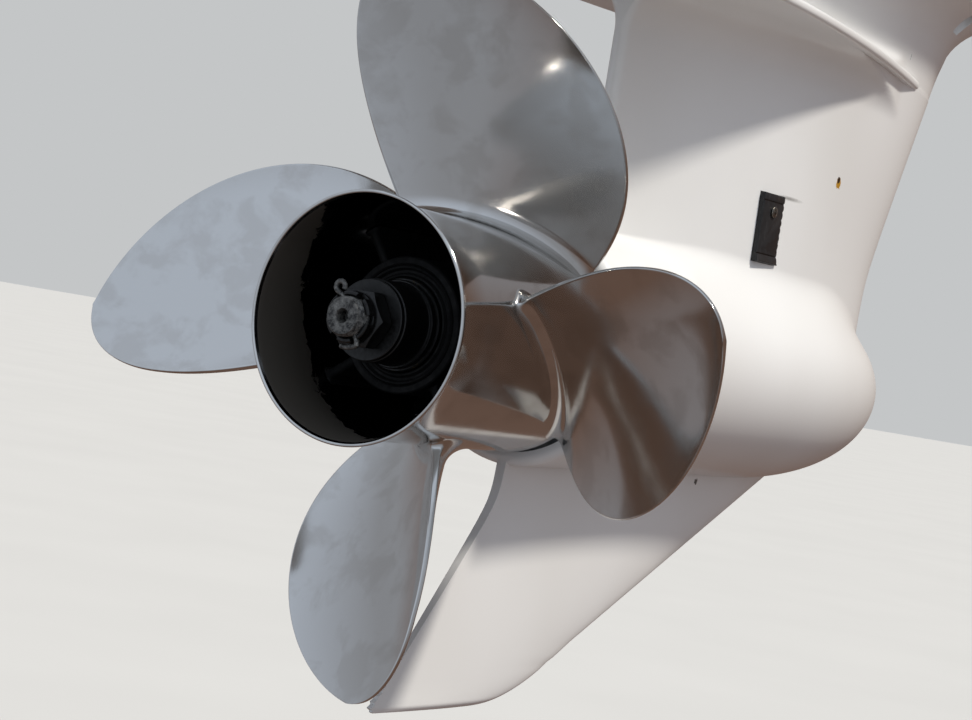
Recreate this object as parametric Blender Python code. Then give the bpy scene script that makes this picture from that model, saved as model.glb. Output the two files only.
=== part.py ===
"""Outboard motor gearcase with its four-bladed stainless steel propeller.

Metres, +Z up, +Y towards the bow, +X to starboard. The origin is on the flat top flange that bolts to the
motor's mid-section. Everything is laid out from one datum, the centre of the propeller barrel's rear rim:
a station is a distance forward of that rim along the propeller shaft, and a height is a distance above the
shaft's axis.
"""
import math

import bmesh
import bpy
from mathutils import Matrix, Vector

# Clearances
SEAT_GAP = 0.0003
RUNNING_GAP = 0.0005
STUD_GAP = 0.0003

# The datum in the part's frame
FLANGE_HEIGHT = 0.285
ORIGIN_STATION = 0.370

# Propeller barrel, an open tube that carries the exhaust
BARREL_RADIUS = 0.0580
BARREL_WALL = 0.0030
BARREL_LENGTH = 0.1425
RIM_FLARE = 0.0040
RIM_FLARE_LENGTH = 0.028
RIM_WALL = 0.0018
BARREL_SEGMENTS = 48

# Blades
BLADE_COUNT = 4
TIP_RADIUS = 0.1854
BLADE_SETBACK = 0.0565
RAKE_SLOPE = 0.44
ROOT_PITCH = 0.427
TIP_PITCH = 0.390
TIP_ANGLE = 4.6
LEADING_SWEEP = 51.5
TRAILING_SWEEP = 17.6
LEADING_FULLNESS = (2.4, 0.78)
TRAILING_FULLNESS = (2.1, 0.46)
ROOT_THICKNESS = 0.0085
TIP_THICKNESS = 0.0014
EDGE_THICKNESS = 0.0036
TIP_EDGE_THICKNESS = 0.0024
CAMBER = 0.030
CUP_DEPTH = 0.0025
FILLET_RADIUS = 0.010
EDGE_FILLET = 0.0045

# Hub inside the barrel
HUB_RADIUS = 0.0340
HUB_WALL = 0.0040
HUB_AFT_STATION = 0.040
HUB_SETBACK = 0.0025
RIB_COUNT = 4
RIB_THICKNESS = 0.005
RIB_AFT_STATION = 0.046
RIB_SETBACK = 0.0085
FIRST_RIB_ANGLE = 35.0
SLEEVE_WALL = 0.0080
SLEEVE_AFT_STATION = 0.0380
SPACER_RADIUS = 0.0205
SPACER_COLLAR_RADIUS = 0.0220
SPACER_COLLAR_LENGTH = 0.0035
WASHER_RADIUS = 0.0200
WASHER_THICKNESS = 0.0025
WASHER_AFT_STATION = 0.0108
THRUST_WASHER_RADIUS = 0.027
THRUST_WASHER_THICKNESS = 0.0085

# Propeller shaft, its nut and split pin
SHAFT_RADIUS = 0.0150
THREAD_RADIUS = 0.0098
THREAD_CHAMFER = 0.0012
SHAFT_END_STATION = -0.010
SHAFT_REACH = 0.038
CENTRE_DRILL_RADIUS = 0.0034
CENTRE_DRILL_DEPTH = 0.005
NUT_ACROSS_FLATS = 0.0270
NUT_HEIGHT = 0.0165
CASTLE_RADIUS = 0.0126
CASTLE_HEIGHT = 0.0065
CASTLE_SLOT = 0.0044
CASTLE_SLOTS = 6
PIN_RADIUS = 0.0013
PIN_ANGLE = 120.0
PIN_EYE_RADIUS = 0.0026
PIN_LEG_TURN = 40.0

# Torpedo, the bullet-shaped lower body of the gearcase
TORPEDO_RADIUS = 0.0620
TORPEDO_AFT_RADIUS = 0.0650
PROPELLER_CLEARANCE = 0.0095
TORPEDO_CHAMFER = 0.0055
NOSE_STATION = 0.400
NOSE_LENGTH = 0.175
CAVITY_RADIUS = 0.0575
CAVITY_DEPTH = 0.048
TORPEDO_SEGMENTS = 48

# Strut between the torpedo and the flange
STRUT_BASE_HEIGHT = 0.024
STRUT_HALF_WIDTH = 0.0360
STRUT_TRAILING_STATION = 0.202
STRUT_TRAILING_HALF_WIDTH = 0.0040
STRUT_LEADING_STATION = 0.616
STRUT_RAKE = 0.462
STRUT_WIDEST = 0.45
STRUT_ROOT_FILLET = 0.030
STRUT_ROOT_BITE = 0.0006
NOSE_JUNCTION_STATION = 0.556
NOSE_JUNCTION_BLEND = 0.004

# Leg between the plate and the flange
LEG_HALF_WIDTH = 0.0400
LEG_TRAILING_STATION = 0.178
LEG_TRAILING_HALF_WIDTH = 0.0180

# Anti-ventilation plate
PLATE_HEIGHT = 0.205
PLATE_THICKNESS = 0.006
PLATE_FRONT_STATION = 0.545
PLATE_FRONT_HALF_WIDTH = 0.030
PLATE_AFT_STATION = -0.060
PLATE_HALF_WIDTH = 0.082
PLATE_SHOULDER_STATION = 0.200
PLATE_UNDER_FILLET = 0.026
PLATE_TOP_FILLET = 0.014

# Mounting flange
FLANGE_THICKNESS = 0.012
FLANGE_LIP = 0.0064
FLANGE_TRAILING_STATION = 0.150
FLANGE_HALF_WIDTH = 0.070
FLANGE_TRAILING_HALF_WIDTH = 0.030
FLANGE_FILLET = 0.040

# Skeg
SKEG_ROOT_STATION = 0.470
SKEG_ROOT_HEIGHT = -0.060
SKEG_SWEEP = 2.09
SKEG_CURVE_HEIGHT = -0.160
SKEG_BOTTOM_HEIGHT = -0.195
SKEG_HEEL_STATION = 0.158
SKEG_TRAILING_STATION = 0.152
SKEG_TOE_STATION = 0.062
SKEG_TOE_SLOPE = 0.80
SKEG_TOE_CHIP = 0.006
SKEG_ROOT_HALF_THICKNESS = 0.0085
SKEG_TIP_HALF_THICKNESS = 0.0042

# Bearing carrier and seal in the torpedo's aft end
CARRIER_RECESS = 0.014
CARRIER_RIM = 0.0055
CARRIER_BOSS_RADIUS = 0.030
CARRIER_BORE_RADIUS = 0.0225
CARRIER_WINDOWS = 4
CARRIER_SPOKE = 0.009
SEAL_LENGTH = 0.010

# Cooling water intake screens
SCREEN_WIDTH = 0.027
SCREEN_HEIGHT = 0.041
SCREEN_THICKNESS = 0.0045
SCREEN_PROUD = 0.0018
SCREEN_STATION = 0.353
SCREEN_MIDDLE_HEIGHT = 0.090
SCREEN_TEETH = 9
SCREEN_TOOTH = 0.0016
SCREW_HEAD_RADIUS = 0.0034
SCREW_HEAD_HEIGHT = 0.0014
SCREW_FROM_TOP = 0.0105

# Oil plugs on the port side
PLUG_RADIUS = 0.0085
PLUG_HEIGHT = 0.0045
PLUG_SPOTFACE = 0.0030
PLUG_SLOT = 0.0020
DRAIN_PLUG_PLACE = (0.450, -0.026)
LEVEL_PLUG_PLACE = (0.470, 0.128)

# Anode under the plate
ANODE_LENGTH = 0.058
ANODE_WIDTH = 0.046
ANODE_THICKNESS = 0.011
ANODE_STATION = -0.018
ANODE_BOLT_RADIUS = 0.0065
ANODE_BOLT_HEIGHT = 0.005

# On top of the flange: water pump, shafts, studs and dowels
PUMP_STATION = 0.455
PUMP_WELL_DEPTH = 0.004
PUMP_WELL_CLEARANCE = 0.0010
PUMP_PLATE_RADIUS = 0.0500
PUMP_PLATE_THICKNESS = 0.0015
PUMP_RADIUS = 0.0430
PUMP_TOP_RADIUS = 0.0350
PUMP_HEIGHT = 0.0380
DRIVE_SHAFT_RADIUS = 0.0120
DRIVE_SHAFT_RISE = 0.095
DRIVE_SHAFT_BORE_DEPTH = 0.020
SPLINE_COUNT = 12
SPLINE_LENGTH = 0.030
SPLINE_DEPTH = 0.0012
SHIFT_ROD_RADIUS = 0.0048
SHIFT_ROD_RISE = 0.060
SHIFT_ROD_STATION = 0.575
SHIFT_ROD_BORE_DEPTH = 0.015
GROMMET_RADIUS = 0.0095
GROMMET_BORE_RADIUS = 0.0055
GROMMET_HEIGHT = 0.007
EXHAUST_FRONT_STATION = 0.335
EXHAUST_AFT_STATION = 0.235
EXHAUST_HALF_WIDTH = 0.022
EXHAUST_DEPTH = 0.060
STUD_RADIUS = 0.0050
STUD_RISE = 0.032
STUD_DEPTH = 0.010
FRONT_STUD_SETBACK = 0.054
SIDE_STUD_PLACES = ((0.520, 0.050), (0.520, -0.050), (0.255, 0.040), (0.255, -0.040))
DOWEL_RADIUS = 0.0055
DOWEL_RISE = 0.009
DOWEL_DEPTH = 0.010
FRONT_DOWEL_SETBACK = 0.084
FRONT_DOWEL_ACROSS = 0.026
AFT_DOWEL_STATION = 0.182

MATERIALS = {
    "white_enamel": ((0.80, 0.80, 0.76), 0.0, 0.28),
    "stainless": ((0.62, 0.61, 0.58), 1.0, 0.10),
    "black_exhaust_paint": ((0.012, 0.012, 0.013), 0.0, 0.25),
    "rubber": ((0.02, 0.02, 0.02), 0.0, 0.80),
    "black_plastic": ((0.018, 0.018, 0.020), 0.0, 0.45),
    "brass": ((0.55, 0.38, 0.14), 1.0, 0.35),
    "cast_aluminium": ((0.45, 0.45, 0.45), 1.0, 0.45),
    "zinc": ((0.36, 0.37, 0.38), 1.0, 0.60),
}


def remove_everything():
    for item in list(bpy.data.objects):
        bpy.data.objects.remove(item, do_unlink=True)


def paint(name):
    """The Principled material of this name, made once."""
    if name in bpy.data.materials:
        return bpy.data.materials[name]
    colour, metallic, roughness = MATERIALS[name]
    material = bpy.data.materials.new(name)
    material.use_nodes = True
    shader = material.node_tree.nodes["Principled BSDF"]
    shader.inputs["Base Color"].default_value = (*colour, 1.0)
    shader.inputs["Metallic"].default_value = metallic
    shader.inputs["Roughness"].default_value = roughness
    return material


def add_datum(name):
    """An empty on the shaft's axis, in the plane of the barrel's rear rim."""
    datum = bpy.data.objects.new(name, None)
    datum.location = (0.0, -ORIGIN_STATION, -FLANGE_HEIGHT)
    bpy.context.scene.collection.objects.link(datum)
    return datum


def add_solid(name, mesh, material, datum, smooth=True):
    """Links a mesh, laid out from the datum, as one named part."""
    mesh.materials.append(paint(material))
    if smooth:
        mesh.shade_smooth()
        mesh.set_sharp_from_angle(angle=math.radians(35))
    solid = bpy.data.objects.new(name, mesh)
    solid.parent = datum
    bpy.context.scene.collection.objects.link(solid)
    return solid


def add_cutter(name, mesh, datum):
    """A hidden shape that a Boolean reads."""
    cutter = bpy.data.objects.new(name, mesh)
    cutter.parent = datum
    cutter.hide_render = True
    cutter.display_type = "WIRE"
    bpy.context.scene.collection.objects.link(cutter)
    return cutter


def add_boolean(solid, other, operation, solver="EXACT"):
    modifier = solid.modifiers.new(operation.lower(), "BOOLEAN")
    modifier.operation = operation
    modifier.object = other
    modifier.solver = solver


def mesh_from(name, points, faces):
    """A closed mesh with its faces turned outwards."""
    shape = bmesh.new()
    corners = [shape.verts.new(point) for point in points]
    for face in faces:
        shape.faces.new([corners[index] for index in face])
    bmesh.ops.recalc_face_normals(shape, faces=shape.faces)
    mesh = bpy.data.meshes.new(name)
    shape.to_mesh(mesh)
    shape.free()
    return mesh


def loft(name, rings):
    """Joins rings of equal length, in order, and closes the first and last with a face."""
    count = len(rings[0])
    points = [point for ring in rings for point in ring]
    faces = [tuple(range(count)), tuple(range(len(points) - count, len(points)))]
    for row in range(len(rings) - 1):
        for column in range(count):
            following = (column + 1) % count
            faces.append((row * count + column, row * count + following,
                          (row + 1) * count + following, (row + 1) * count + column))
    return mesh_from(name, points, faces)


def turned(name, profile, segments, centre=(0.0, 0.0), axis="Y"):
    """Spins a closed profile of (radius, distance) corners round an axis through the centre.

    Corners at zero radius become poles. The first segment's edge lies at angle zero.
    """
    points = []
    rows = []
    for radius, distance in profile:
        if radius == 0.0:
            rows.append([len(points)] * segments)
            points.append(place_on_axis(0.0, 0.0, distance, centre, axis))
            continue
        rows.append(list(range(len(points), len(points) + segments)))
        for step in range(segments):
            angle = 2.0 * math.pi * step / segments
            across = radius * math.cos(angle)
            points.append(place_on_axis(across, radius * math.sin(angle), distance, centre, axis))
    faces = []
    for row, upper in enumerate(rows):
        lower = rows[(row + 1) % len(rows)]
        for step in range(segments):
            following = (step + 1) % segments
            corners = [upper[step], upper[following], lower[following], lower[step]]
            unique = sorted(set(corners), key=corners.index)
            if len(unique) > 2:
                faces.append(tuple(unique))
    return mesh_from(name, points, faces)


def place_on_axis(first, second, distance, centre, axis):
    """A point beside an axis that runs along Y, Z or X."""
    if axis == "Y":
        return (centre[0] + first, distance, centre[1] + second)
    if axis == "Z":
        return (centre[0] + first, centre[1] + second, distance)
    return (distance, centre[0] + first, centre[1] + second)


def tube_profile(outer, inner, start, end):
    return ((outer, start), (outer, end), (inner, end), (inner, start))


def rod_profile(radius, start, end):
    return ((0.0, start), (radius, start), (radius, end), (0.0, end))


def block(name, low, high):
    """A box between two corners."""
    corners = [(x, y, z) for x in (low[0], high[0]) for y in (low[1], high[1]) for z in (low[2], high[2])]
    faces = ((0, 1, 3, 2), (4, 5, 7, 6), (0, 1, 5, 4), (2, 3, 7, 6), (0, 2, 6, 4), (1, 3, 7, 5))
    return mesh_from(name, corners, faces)


def join_meshes(name, meshes):
    """Several separate closed shapes as one mesh."""
    shape = bmesh.new()
    for mesh in meshes:
        shape.from_mesh(mesh)
    joined = bpy.data.meshes.new(name)
    shape.to_mesh(joined)
    shape.free()
    return joined


def swept_rod(name, path, radius, sides):
    """A round rod along a path of points."""
    points = [Vector(point) for point in path]
    rings = []
    side = None
    for index, point in enumerate(points):
        before = points[max(index - 1, 0)]
        after = points[min(index + 1, len(points) - 1)]
        along = (after - before).normalized()
        if side is None:
            side = along.orthogonal().normalized()
        side = (side - along * side.dot(along)).normalized()
        across = along.cross(side)
        rings.append([point + radius * (side * math.cos(2.0 * math.pi * step / sides)
                                        + across * math.sin(2.0 * math.pi * step / sides))
                      for step in range(sides)])
    return loft(name, rings)


# Propeller

def barrel_outside(station):
    """The barrel's outer radius, which flares towards the rear rim."""
    share = max(0.0, 1.0 - station / RIM_FLARE_LENGTH)
    return BARREL_RADIUS + RIM_FLARE * share ** 2


def barrel_wall(station):
    """The wall's thickness, which narrows towards the rear rim."""
    share = max(0.0, 1.0 - station / RIM_FLARE_LENGTH)
    return BARREL_WALL + (RIM_WALL - BARREL_WALL) * share


def barrel_stations():
    flare_steps = 4
    stations = [RIM_FLARE_LENGTH * step / flare_steps for step in range(flare_steps + 1)]
    return stations + [BARREL_LENGTH - BARREL_WALL / 2.0, BARREL_LENGTH]


def barrel_profile():
    stations = barrel_stations()
    outer = [(barrel_outside(station), station) for station in stations]
    outer[-1] = (BARREL_RADIUS - BARREL_WALL / 3.0, BARREL_LENGTH)
    inner = [(barrel_outside(station) - barrel_wall(station), station) for station in stations]
    return outer + inner[::-1]


def blade_share(radius):
    """0 on the barrel and 1 at the tip."""
    return min(1.0, max(0.0, (radius - BARREL_RADIUS) / (TIP_RADIUS - BARREL_RADIUS)))


def edge_angle(share, sweep, fullness):
    """How far an edge lies from the tip's angle, in degrees."""
    power, bend = fullness
    return sweep * (1.0 - share ** power) ** bend


def mix(first, last, share):
    return first + (last - first) * share


def fillet_reach(height, radius):
    """How far a round fillet of this radius reaches out at a height above its base."""
    if height >= radius:
        return 0.0
    rise = radius - max(height, 0.0)
    return radius - math.sqrt(max(radius ** 2 - rise ** 2, 0.0))


def blade_point(radius, turn):
    """A point on the blade's skin: turn runs from the trailing edge round both faces.

    The section lies on a cylinder of this radius. Its middle line climbs along the pitch helix, with camber
    and a cup at the trailing edge, and its edges are rounded.
    """
    share = blade_share(radius)
    leading = TIP_ANGLE - edge_angle(share, LEADING_SWEEP, LEADING_FULLNESS)
    trailing = TIP_ANGLE + edge_angle(share, TRAILING_SWEEP, TRAILING_FULLNESS)
    pitch = mix(ROOT_PITCH, TIP_PITCH, share) / (2.0 * math.pi)
    slant = math.hypot(radius, pitch)
    chord = math.radians(trailing - leading) * slant

    height = radius - BARREL_RADIUS
    fillet = fillet_reach(height, FILLET_RADIUS)
    end_fillet = fillet_reach(height, EDGE_FILLET)
    along = (1.0 + math.cos(turn)) / 2.0
    side = 1.0 if math.sin(turn) >= 0.0 else -1.0
    bulge = 4.0 * along * (1.0 - along)
    thickness = (mix(ROOT_THICKNESS, TIP_THICKNESS, share) * bulge
                 + mix(EDGE_THICKNESS, TIP_EDGE_THICKNESS, share) * bulge ** 0.25)
    offset = side * (thickness / 2.0 + fillet * bulge ** 0.25)
    offset += CAMBER * chord * bulge
    cup = max(0.0, (along - 0.80) / 0.20)
    offset -= CUP_DEPTH * cup ** 2 * min(1.0, 3.0 * (1.0 - share))

    distance = (along - 0.5) * (chord + 2.0 * end_fillet)
    middle = math.radians((leading + trailing) / 2.0)
    angle = middle + distance / slant + offset * pitch / (slant * radius)
    ahead = BARREL_LENGTH - BLADE_SETBACK - RAKE_SLOPE * height - pitch * (middle + distance / slant)
    station = ahead + offset * radius / slant
    return Vector((radius * math.cos(angle), station, radius * math.sin(angle)))


def blade_mesh(name):
    sides = 26
    span_steps = 11
    root_heights = (-0.004, 0.0004, 0.0015, 0.0040, 0.0100)
    span = TIP_RADIUS - BARREL_RADIUS
    radii = [BARREL_RADIUS + height for height in root_heights]
    for step in range(2, span_steps):
        radii.append(BARREL_RADIUS + span * math.sin(0.5 * math.pi * step / span_steps))
    radii.append(BARREL_RADIUS + span * 0.9985)
    rings = [[blade_point(radius, 2.0 * math.pi * (step + 0.5) / sides) for step in range(sides)]
             for radius in radii]
    return loft(name, rings)


def root_cutter_profile():
    """The barrel's outer skin, a seat gap larger, as a solid."""
    stations = barrel_stations()
    skin = [(barrel_outside(station) + SEAT_GAP, station) for station in stations[:-1]]
    margin = 4.0 * FILLET_RADIUS
    skin[0] = (skin[0][0], -margin)
    skin[-1] = (BARREL_RADIUS + SEAT_GAP, BARREL_LENGTH + margin)
    return [(0.0, -margin)] + skin + [(0.0, BARREL_LENGTH + margin)]


def build_propeller(datum):
    add_solid("outer_barrel", turned("outer_barrel", barrel_profile(), BARREL_SEGMENTS), "stainless", datum)
    root = turned("blade_root_cutter", root_cutter_profile(), BARREL_SEGMENTS)
    cutter = add_cutter("blade_root_cutter", root, datum)
    for index in range(BLADE_COUNT):
        name = "blade_%d" % (index + 1)
        mesh = blade_mesh(name)
        mesh.transform(Matrix.Rotation(-2.0 * math.pi * index / BLADE_COUNT, 4, "Y"))
        blade = add_solid(name, mesh, "stainless", datum)
        add_boolean(blade, cutter, "DIFFERENCE")


def build_hub(datum):
    hub_front = BARREL_LENGTH - HUB_SETBACK
    hub = add_solid("inner_hub", turned("inner_hub", tube_profile(
        HUB_RADIUS, HUB_RADIUS - HUB_WALL, HUB_AFT_STATION, hub_front), 36), "black_exhaust_paint", datum)
    rib_reach = (BARREL_RADIUS - BARREL_WALL) * math.cos(math.pi / BARREL_SEGMENTS) - SEAT_GAP
    rib_end = math.sqrt(rib_reach ** 2 - (RIB_THICKNESS / 2.0) ** 2)
    for index in range(RIB_COUNT):
        rib = block("rib", (HUB_RADIUS - HUB_WALL / 2.0, RIB_AFT_STATION, -RIB_THICKNESS / 2.0),
                    (rib_end, BARREL_LENGTH - RIB_SETBACK, RIB_THICKNESS / 2.0))
        angle = math.radians(FIRST_RIB_ANGLE) + 2.0 * math.pi * index / RIB_COUNT
        rib.transform(Matrix.Rotation(-angle, 4, "Y"))
        add_boolean(hub, add_cutter("hub_rib_%d" % (index + 1), rib, datum), "UNION")

    bushing_outer = HUB_RADIUS - HUB_WALL - SEAT_GAP
    sleeve_inner = SHAFT_RADIUS + SEAT_GAP
    sleeve_outer = sleeve_inner + SLEEVE_WALL
    add_solid("rubber_bushing", turned("rubber_bushing", tube_profile(
        bushing_outer, sleeve_outer + SEAT_GAP, HUB_AFT_STATION, hub_front), 36), "rubber", datum)
    add_solid("drive_sleeve", turned("drive_sleeve", tube_profile(
        sleeve_outer, sleeve_inner, SLEEVE_AFT_STATION, hub_front), 36), "brass", datum)
    thrust_start = hub_front + SEAT_GAP
    add_solid("thrust_washer", turned("thrust_washer", tube_profile(
        THRUST_WASHER_RADIUS, sleeve_inner, thrust_start, thrust_start + THRUST_WASHER_THICKNESS), 36),
        "stainless", datum)


def pin_station():
    """The split pin lies in the castle nut's slots."""
    return nut_aft_station() + CASTLE_SLOT / 2.0


def nut_aft_station():
    return WASHER_AFT_STATION - SEAT_GAP - NUT_HEIGHT


def slot_star():
    """The outline of all the castle nut's slots, as a star of straight arms."""
    half_turn = math.pi / CASTLE_SLOTS
    inner = CASTLE_SLOT / 2.0 / math.sin(half_turn)
    outline = []
    for index in range(CASTLE_SLOTS):
        angle = math.radians(PIN_ANGLE) + 2.0 * half_turn * index
        for side in (-1.0, 1.0):
            outline.append((2.0 * CASTLE_RADIUS * math.cos(angle) - side * CASTLE_SLOT / 2.0 * math.sin(angle),
                            2.0 * CASTLE_RADIUS * math.sin(angle) + side * CASTLE_SLOT / 2.0 * math.cos(angle)))
        outline.append((inner * math.cos(angle + half_turn), inner * math.sin(angle + half_turn)))
    return outline


def build_shaft(datum):
    shaft_front = torpedo_aft_station() + SHAFT_REACH
    profile = ((0.0, SHAFT_END_STATION + CENTRE_DRILL_DEPTH),
               (CENTRE_DRILL_RADIUS, SHAFT_END_STATION),
               (THREAD_RADIUS - THREAD_CHAMFER, SHAFT_END_STATION),
               (THREAD_RADIUS, SHAFT_END_STATION + THREAD_CHAMFER),
               (THREAD_RADIUS, SLEEVE_AFT_STATION),
               (SHAFT_RADIUS, SLEEVE_AFT_STATION + 0.002),
               (SHAFT_RADIUS, shaft_front),
               (0.0, shaft_front))
    shaft = add_solid("propeller_shaft", turned("propeller_shaft", profile, 24), "stainless", datum)
    hole = turned("pin_hole", rod_profile(PIN_RADIUS + SEAT_GAP, -2.0 * THREAD_RADIUS, 2.0 * THREAD_RADIUS), 8,
                  axis="X")
    hole.transform(Matrix.Rotation(-math.radians(PIN_ANGLE), 4, "Y"))
    hole.transform(Matrix.Translation((0.0, pin_station(), 0.0)))
    add_boolean(shaft, add_cutter("pin_hole", hole, datum), "DIFFERENCE")

    inner = THREAD_RADIUS + SEAT_GAP
    spacer_start = WASHER_AFT_STATION + WASHER_THICKNESS + SEAT_GAP
    spacer_end = SLEEVE_AFT_STATION - SEAT_GAP
    collar = spacer_end - SPACER_COLLAR_LENGTH
    add_solid("hub_spacer", turned("hub_spacer", (
        (SPACER_RADIUS, spacer_start), (SPACER_RADIUS, collar), (SPACER_COLLAR_RADIUS, collar),
        (SPACER_COLLAR_RADIUS, spacer_end), (inner, spacer_end), (inner, spacer_start)), 36), "stainless", datum)
    add_solid("nut_washer", turned("nut_washer", tube_profile(
        WASHER_RADIUS, inner, WASHER_AFT_STATION, WASHER_AFT_STATION + WASHER_THICKNESS), 36), "stainless", datum)

    nut_start = nut_aft_station()
    across_corners = NUT_ACROSS_FLATS / math.sqrt(3.0)
    hexagon = rod_profile(across_corners, nut_start + CASTLE_HEIGHT, nut_start + NUT_HEIGHT)
    nut = add_solid("castle_nut", turned("castle_nut", hexagon, 6), "stainless", datum, smooth=False)
    bore_margin = 0.004
    nut_end = nut_start + NUT_HEIGHT
    nut_bore = turned("nut_bore", rod_profile(inner, nut_start - bore_margin, nut_end + bore_margin), 24)
    castle_end = nut_start + CASTLE_HEIGHT + bore_margin
    castle = turned("castle", rod_profile(CASTLE_RADIUS, nut_start, castle_end), 24)
    star = slot_star()
    slots = loft("castle_slots", [[(x, station, z) for x, z in star]
                                  for station in (nut_start - bore_margin, nut_start + CASTLE_SLOT)])
    add_boolean(nut, add_cutter("castle", castle, datum), "UNION")
    add_boolean(nut, add_cutter("nut_bore", nut_bore, datum), "DIFFERENCE")
    add_boolean(nut, add_cutter("castle_slots", slots, datum), "DIFFERENCE", "MANIFOLD")


def build_split_pin(datum):
    """An eye on one side of the shaft, a straight run through it and legs bent round the nut on the other."""
    eye_centre = CASTLE_RADIUS + PIN_RADIUS / 2.0 + PIN_EYE_RADIUS
    path = []
    eye_steps = 9
    for step in range(eye_steps):
        angle = math.radians(mix(-140.0, 130.0, step / (eye_steps - 1)))
        path.append((eye_centre + PIN_EYE_RADIUS * math.cos(angle), 0.0, PIN_EYE_RADIUS * math.sin(angle)))
    path.append((CASTLE_RADIUS - PIN_RADIUS, 0.0, 0.0))
    path.append((-CASTLE_RADIUS, 0.0, 0.0))
    bend = CASTLE_RADIUS + PIN_RADIUS + 2.0 * SEAT_GAP
    leg_steps = 5
    for step in range(1, leg_steps + 1):
        angle = math.radians(180.0 - PIN_LEG_TURN * step / leg_steps)
        path.append((bend * math.cos(angle), 0.0, bend * math.sin(angle)))
    mesh = swept_rod("cotter_pin", path, PIN_RADIUS, 8)
    mesh.transform(Matrix.Rotation(-math.radians(PIN_ANGLE), 4, "Y"))
    mesh.transform(Matrix.Translation((0.0, pin_station(), 0.0)))
    add_solid("cotter_pin", mesh, "stainless", datum)


# Gearcase

def torpedo_aft_station():
    return BARREL_LENGTH + PROPELLER_CLEARANCE


def torpedo_profile():
    aft = torpedo_aft_station()
    profile = [(0.0, aft), (TORPEDO_AFT_RADIUS - TORPEDO_CHAMFER, aft),
               (TORPEDO_AFT_RADIUS, aft + TORPEDO_CHAMFER), (TORPEDO_RADIUS, NOSE_STATION)]
    steps = 9
    for step in range(1, steps):
        angle = 0.5 * math.pi * step / steps
        profile.append((TORPEDO_RADIUS * math.cos(angle), NOSE_STATION + NOSE_LENGTH * math.sin(angle)))
    profile.append((0.0, NOSE_STATION + NOSE_LENGTH))
    return profile


def section_shares():
    """Places along a section from the leading edge, close together round the nose."""
    nose = [STRUT_WIDEST * (1.0 - math.cos(0.5 * math.pi * step / 9.0)) for step in range(1, 10)]
    tail = [mix(STRUT_WIDEST, 1.0, step / 6.0) for step in range(1, 7)]
    return nose + tail


def section_width(share, half_width, trailing_half_width):
    """Half the width of a strut section: an elliptical nose, then a long taper."""
    if share < STRUT_WIDEST:
        ahead = 1.0 - share / STRUT_WIDEST
        return half_width * math.sqrt(1.0 - ahead ** 2)
    behind = (share - STRUT_WIDEST) / (1.0 - STRUT_WIDEST)
    return mix(half_width, trailing_half_width, behind ** 1.8)


def section_ring(height, leading, trailing, half_width, trailing_half_width, extra=None):
    """A closed level ring of a strut-like section; extra adds width at a station."""
    side = []
    for share in section_shares():
        station = mix(leading, trailing, share)
        width = section_width(share, half_width, trailing_half_width)
        if extra:
            width += extra(station, width)
        side.append((width, station))
    right = [(width, station, height) for width, station in side]
    left = [(-width, station, height) for width, station in reversed(side)]
    return [(0.0, leading, height)] + right + left


def strut_leading_station(height):
    """The leading edge: raked, upright where it runs into the nose, and forward under the flange."""
    raked = STRUT_LEADING_STATION + STRUT_RAKE * (height - PLATE_HEIGHT)
    lead = (raked - NOSE_JUNCTION_STATION) / 2.0
    station = NOSE_JUNCTION_STATION + lead + math.hypot(lead, NOSE_JUNCTION_BLEND)
    return station + fillet_reach(flange_underside() - height, flange_fillet())


def flange_underside():
    return FLANGE_HEIGHT - FLANGE_THICKNESS


def flange_fillet():
    """The fillet under the flange, which stops where the leg's lower fillet ends."""
    return min(FLANGE_FILLET, flange_underside() - plate_top() - PLATE_TOP_FILLET)


def flange_nose():
    """The flange's front end, a lip ahead of the leg's leading edge."""
    return strut_leading_station(flange_underside()) + FLANGE_LIP


def plate_top():
    return PLATE_HEIGHT + PLATE_THICKNESS


def plate_half_width(station):
    """The plate narrows in a curve from its shoulder to its front, and has no width past it."""
    share = (station - PLATE_SHOULDER_STATION) / (PLATE_FRONT_STATION - PLATE_SHOULDER_STATION)
    if share <= 0.0:
        return PLATE_HALF_WIDTH
    if share > 1.0:
        return 0.0
    return mix(PLATE_HALF_WIDTH, PLATE_FRONT_HALF_WIDTH, share ** 1.7)


def torpedo_radius(station):
    """The torpedo's radius, which tapers slightly forward and is elliptical on the nose."""
    if station > NOSE_STATION:
        return TORPEDO_RADIUS * math.sqrt(max(0.0, 1.0 - ((station - NOSE_STATION) / NOSE_LENGTH) ** 2))
    aft = torpedo_aft_station() + TORPEDO_CHAMFER
    return mix(TORPEDO_AFT_RADIUS, TORPEDO_RADIUS, (station - aft) / (NOSE_STATION - aft))


def root_fillet(height):
    """Extra width that rounds the strut's side into the torpedo, and lies inside the torpedo below that."""
    def extra(station, width):
        radius = torpedo_radius(station) - STRUT_ROOT_BITE
        reach = radius + STRUT_ROOT_FILLET
        top = math.sqrt(max(reach ** 2 - (width + STRUT_ROOT_FILLET) ** 2, 0.0))
        if height >= top:
            return 0.0
        if height >= top * radius / reach:
            return STRUT_ROOT_FILLET - math.sqrt(STRUT_ROOT_FILLET ** 2 - (top - height) ** 2)
        return max(0.0, math.sqrt(max(radius ** 2 - height ** 2, 0.0)) - width - STRUT_ROOT_BITE)
    return extra


def plate_fillet(reach):
    """Extra width beside the plate, where the plate is wide enough to carry it."""
    def extra(station, width):
        return min(reach, max(0.0, plate_half_width(station) - width - PLATE_THICKNESS))
    return extra


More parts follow.
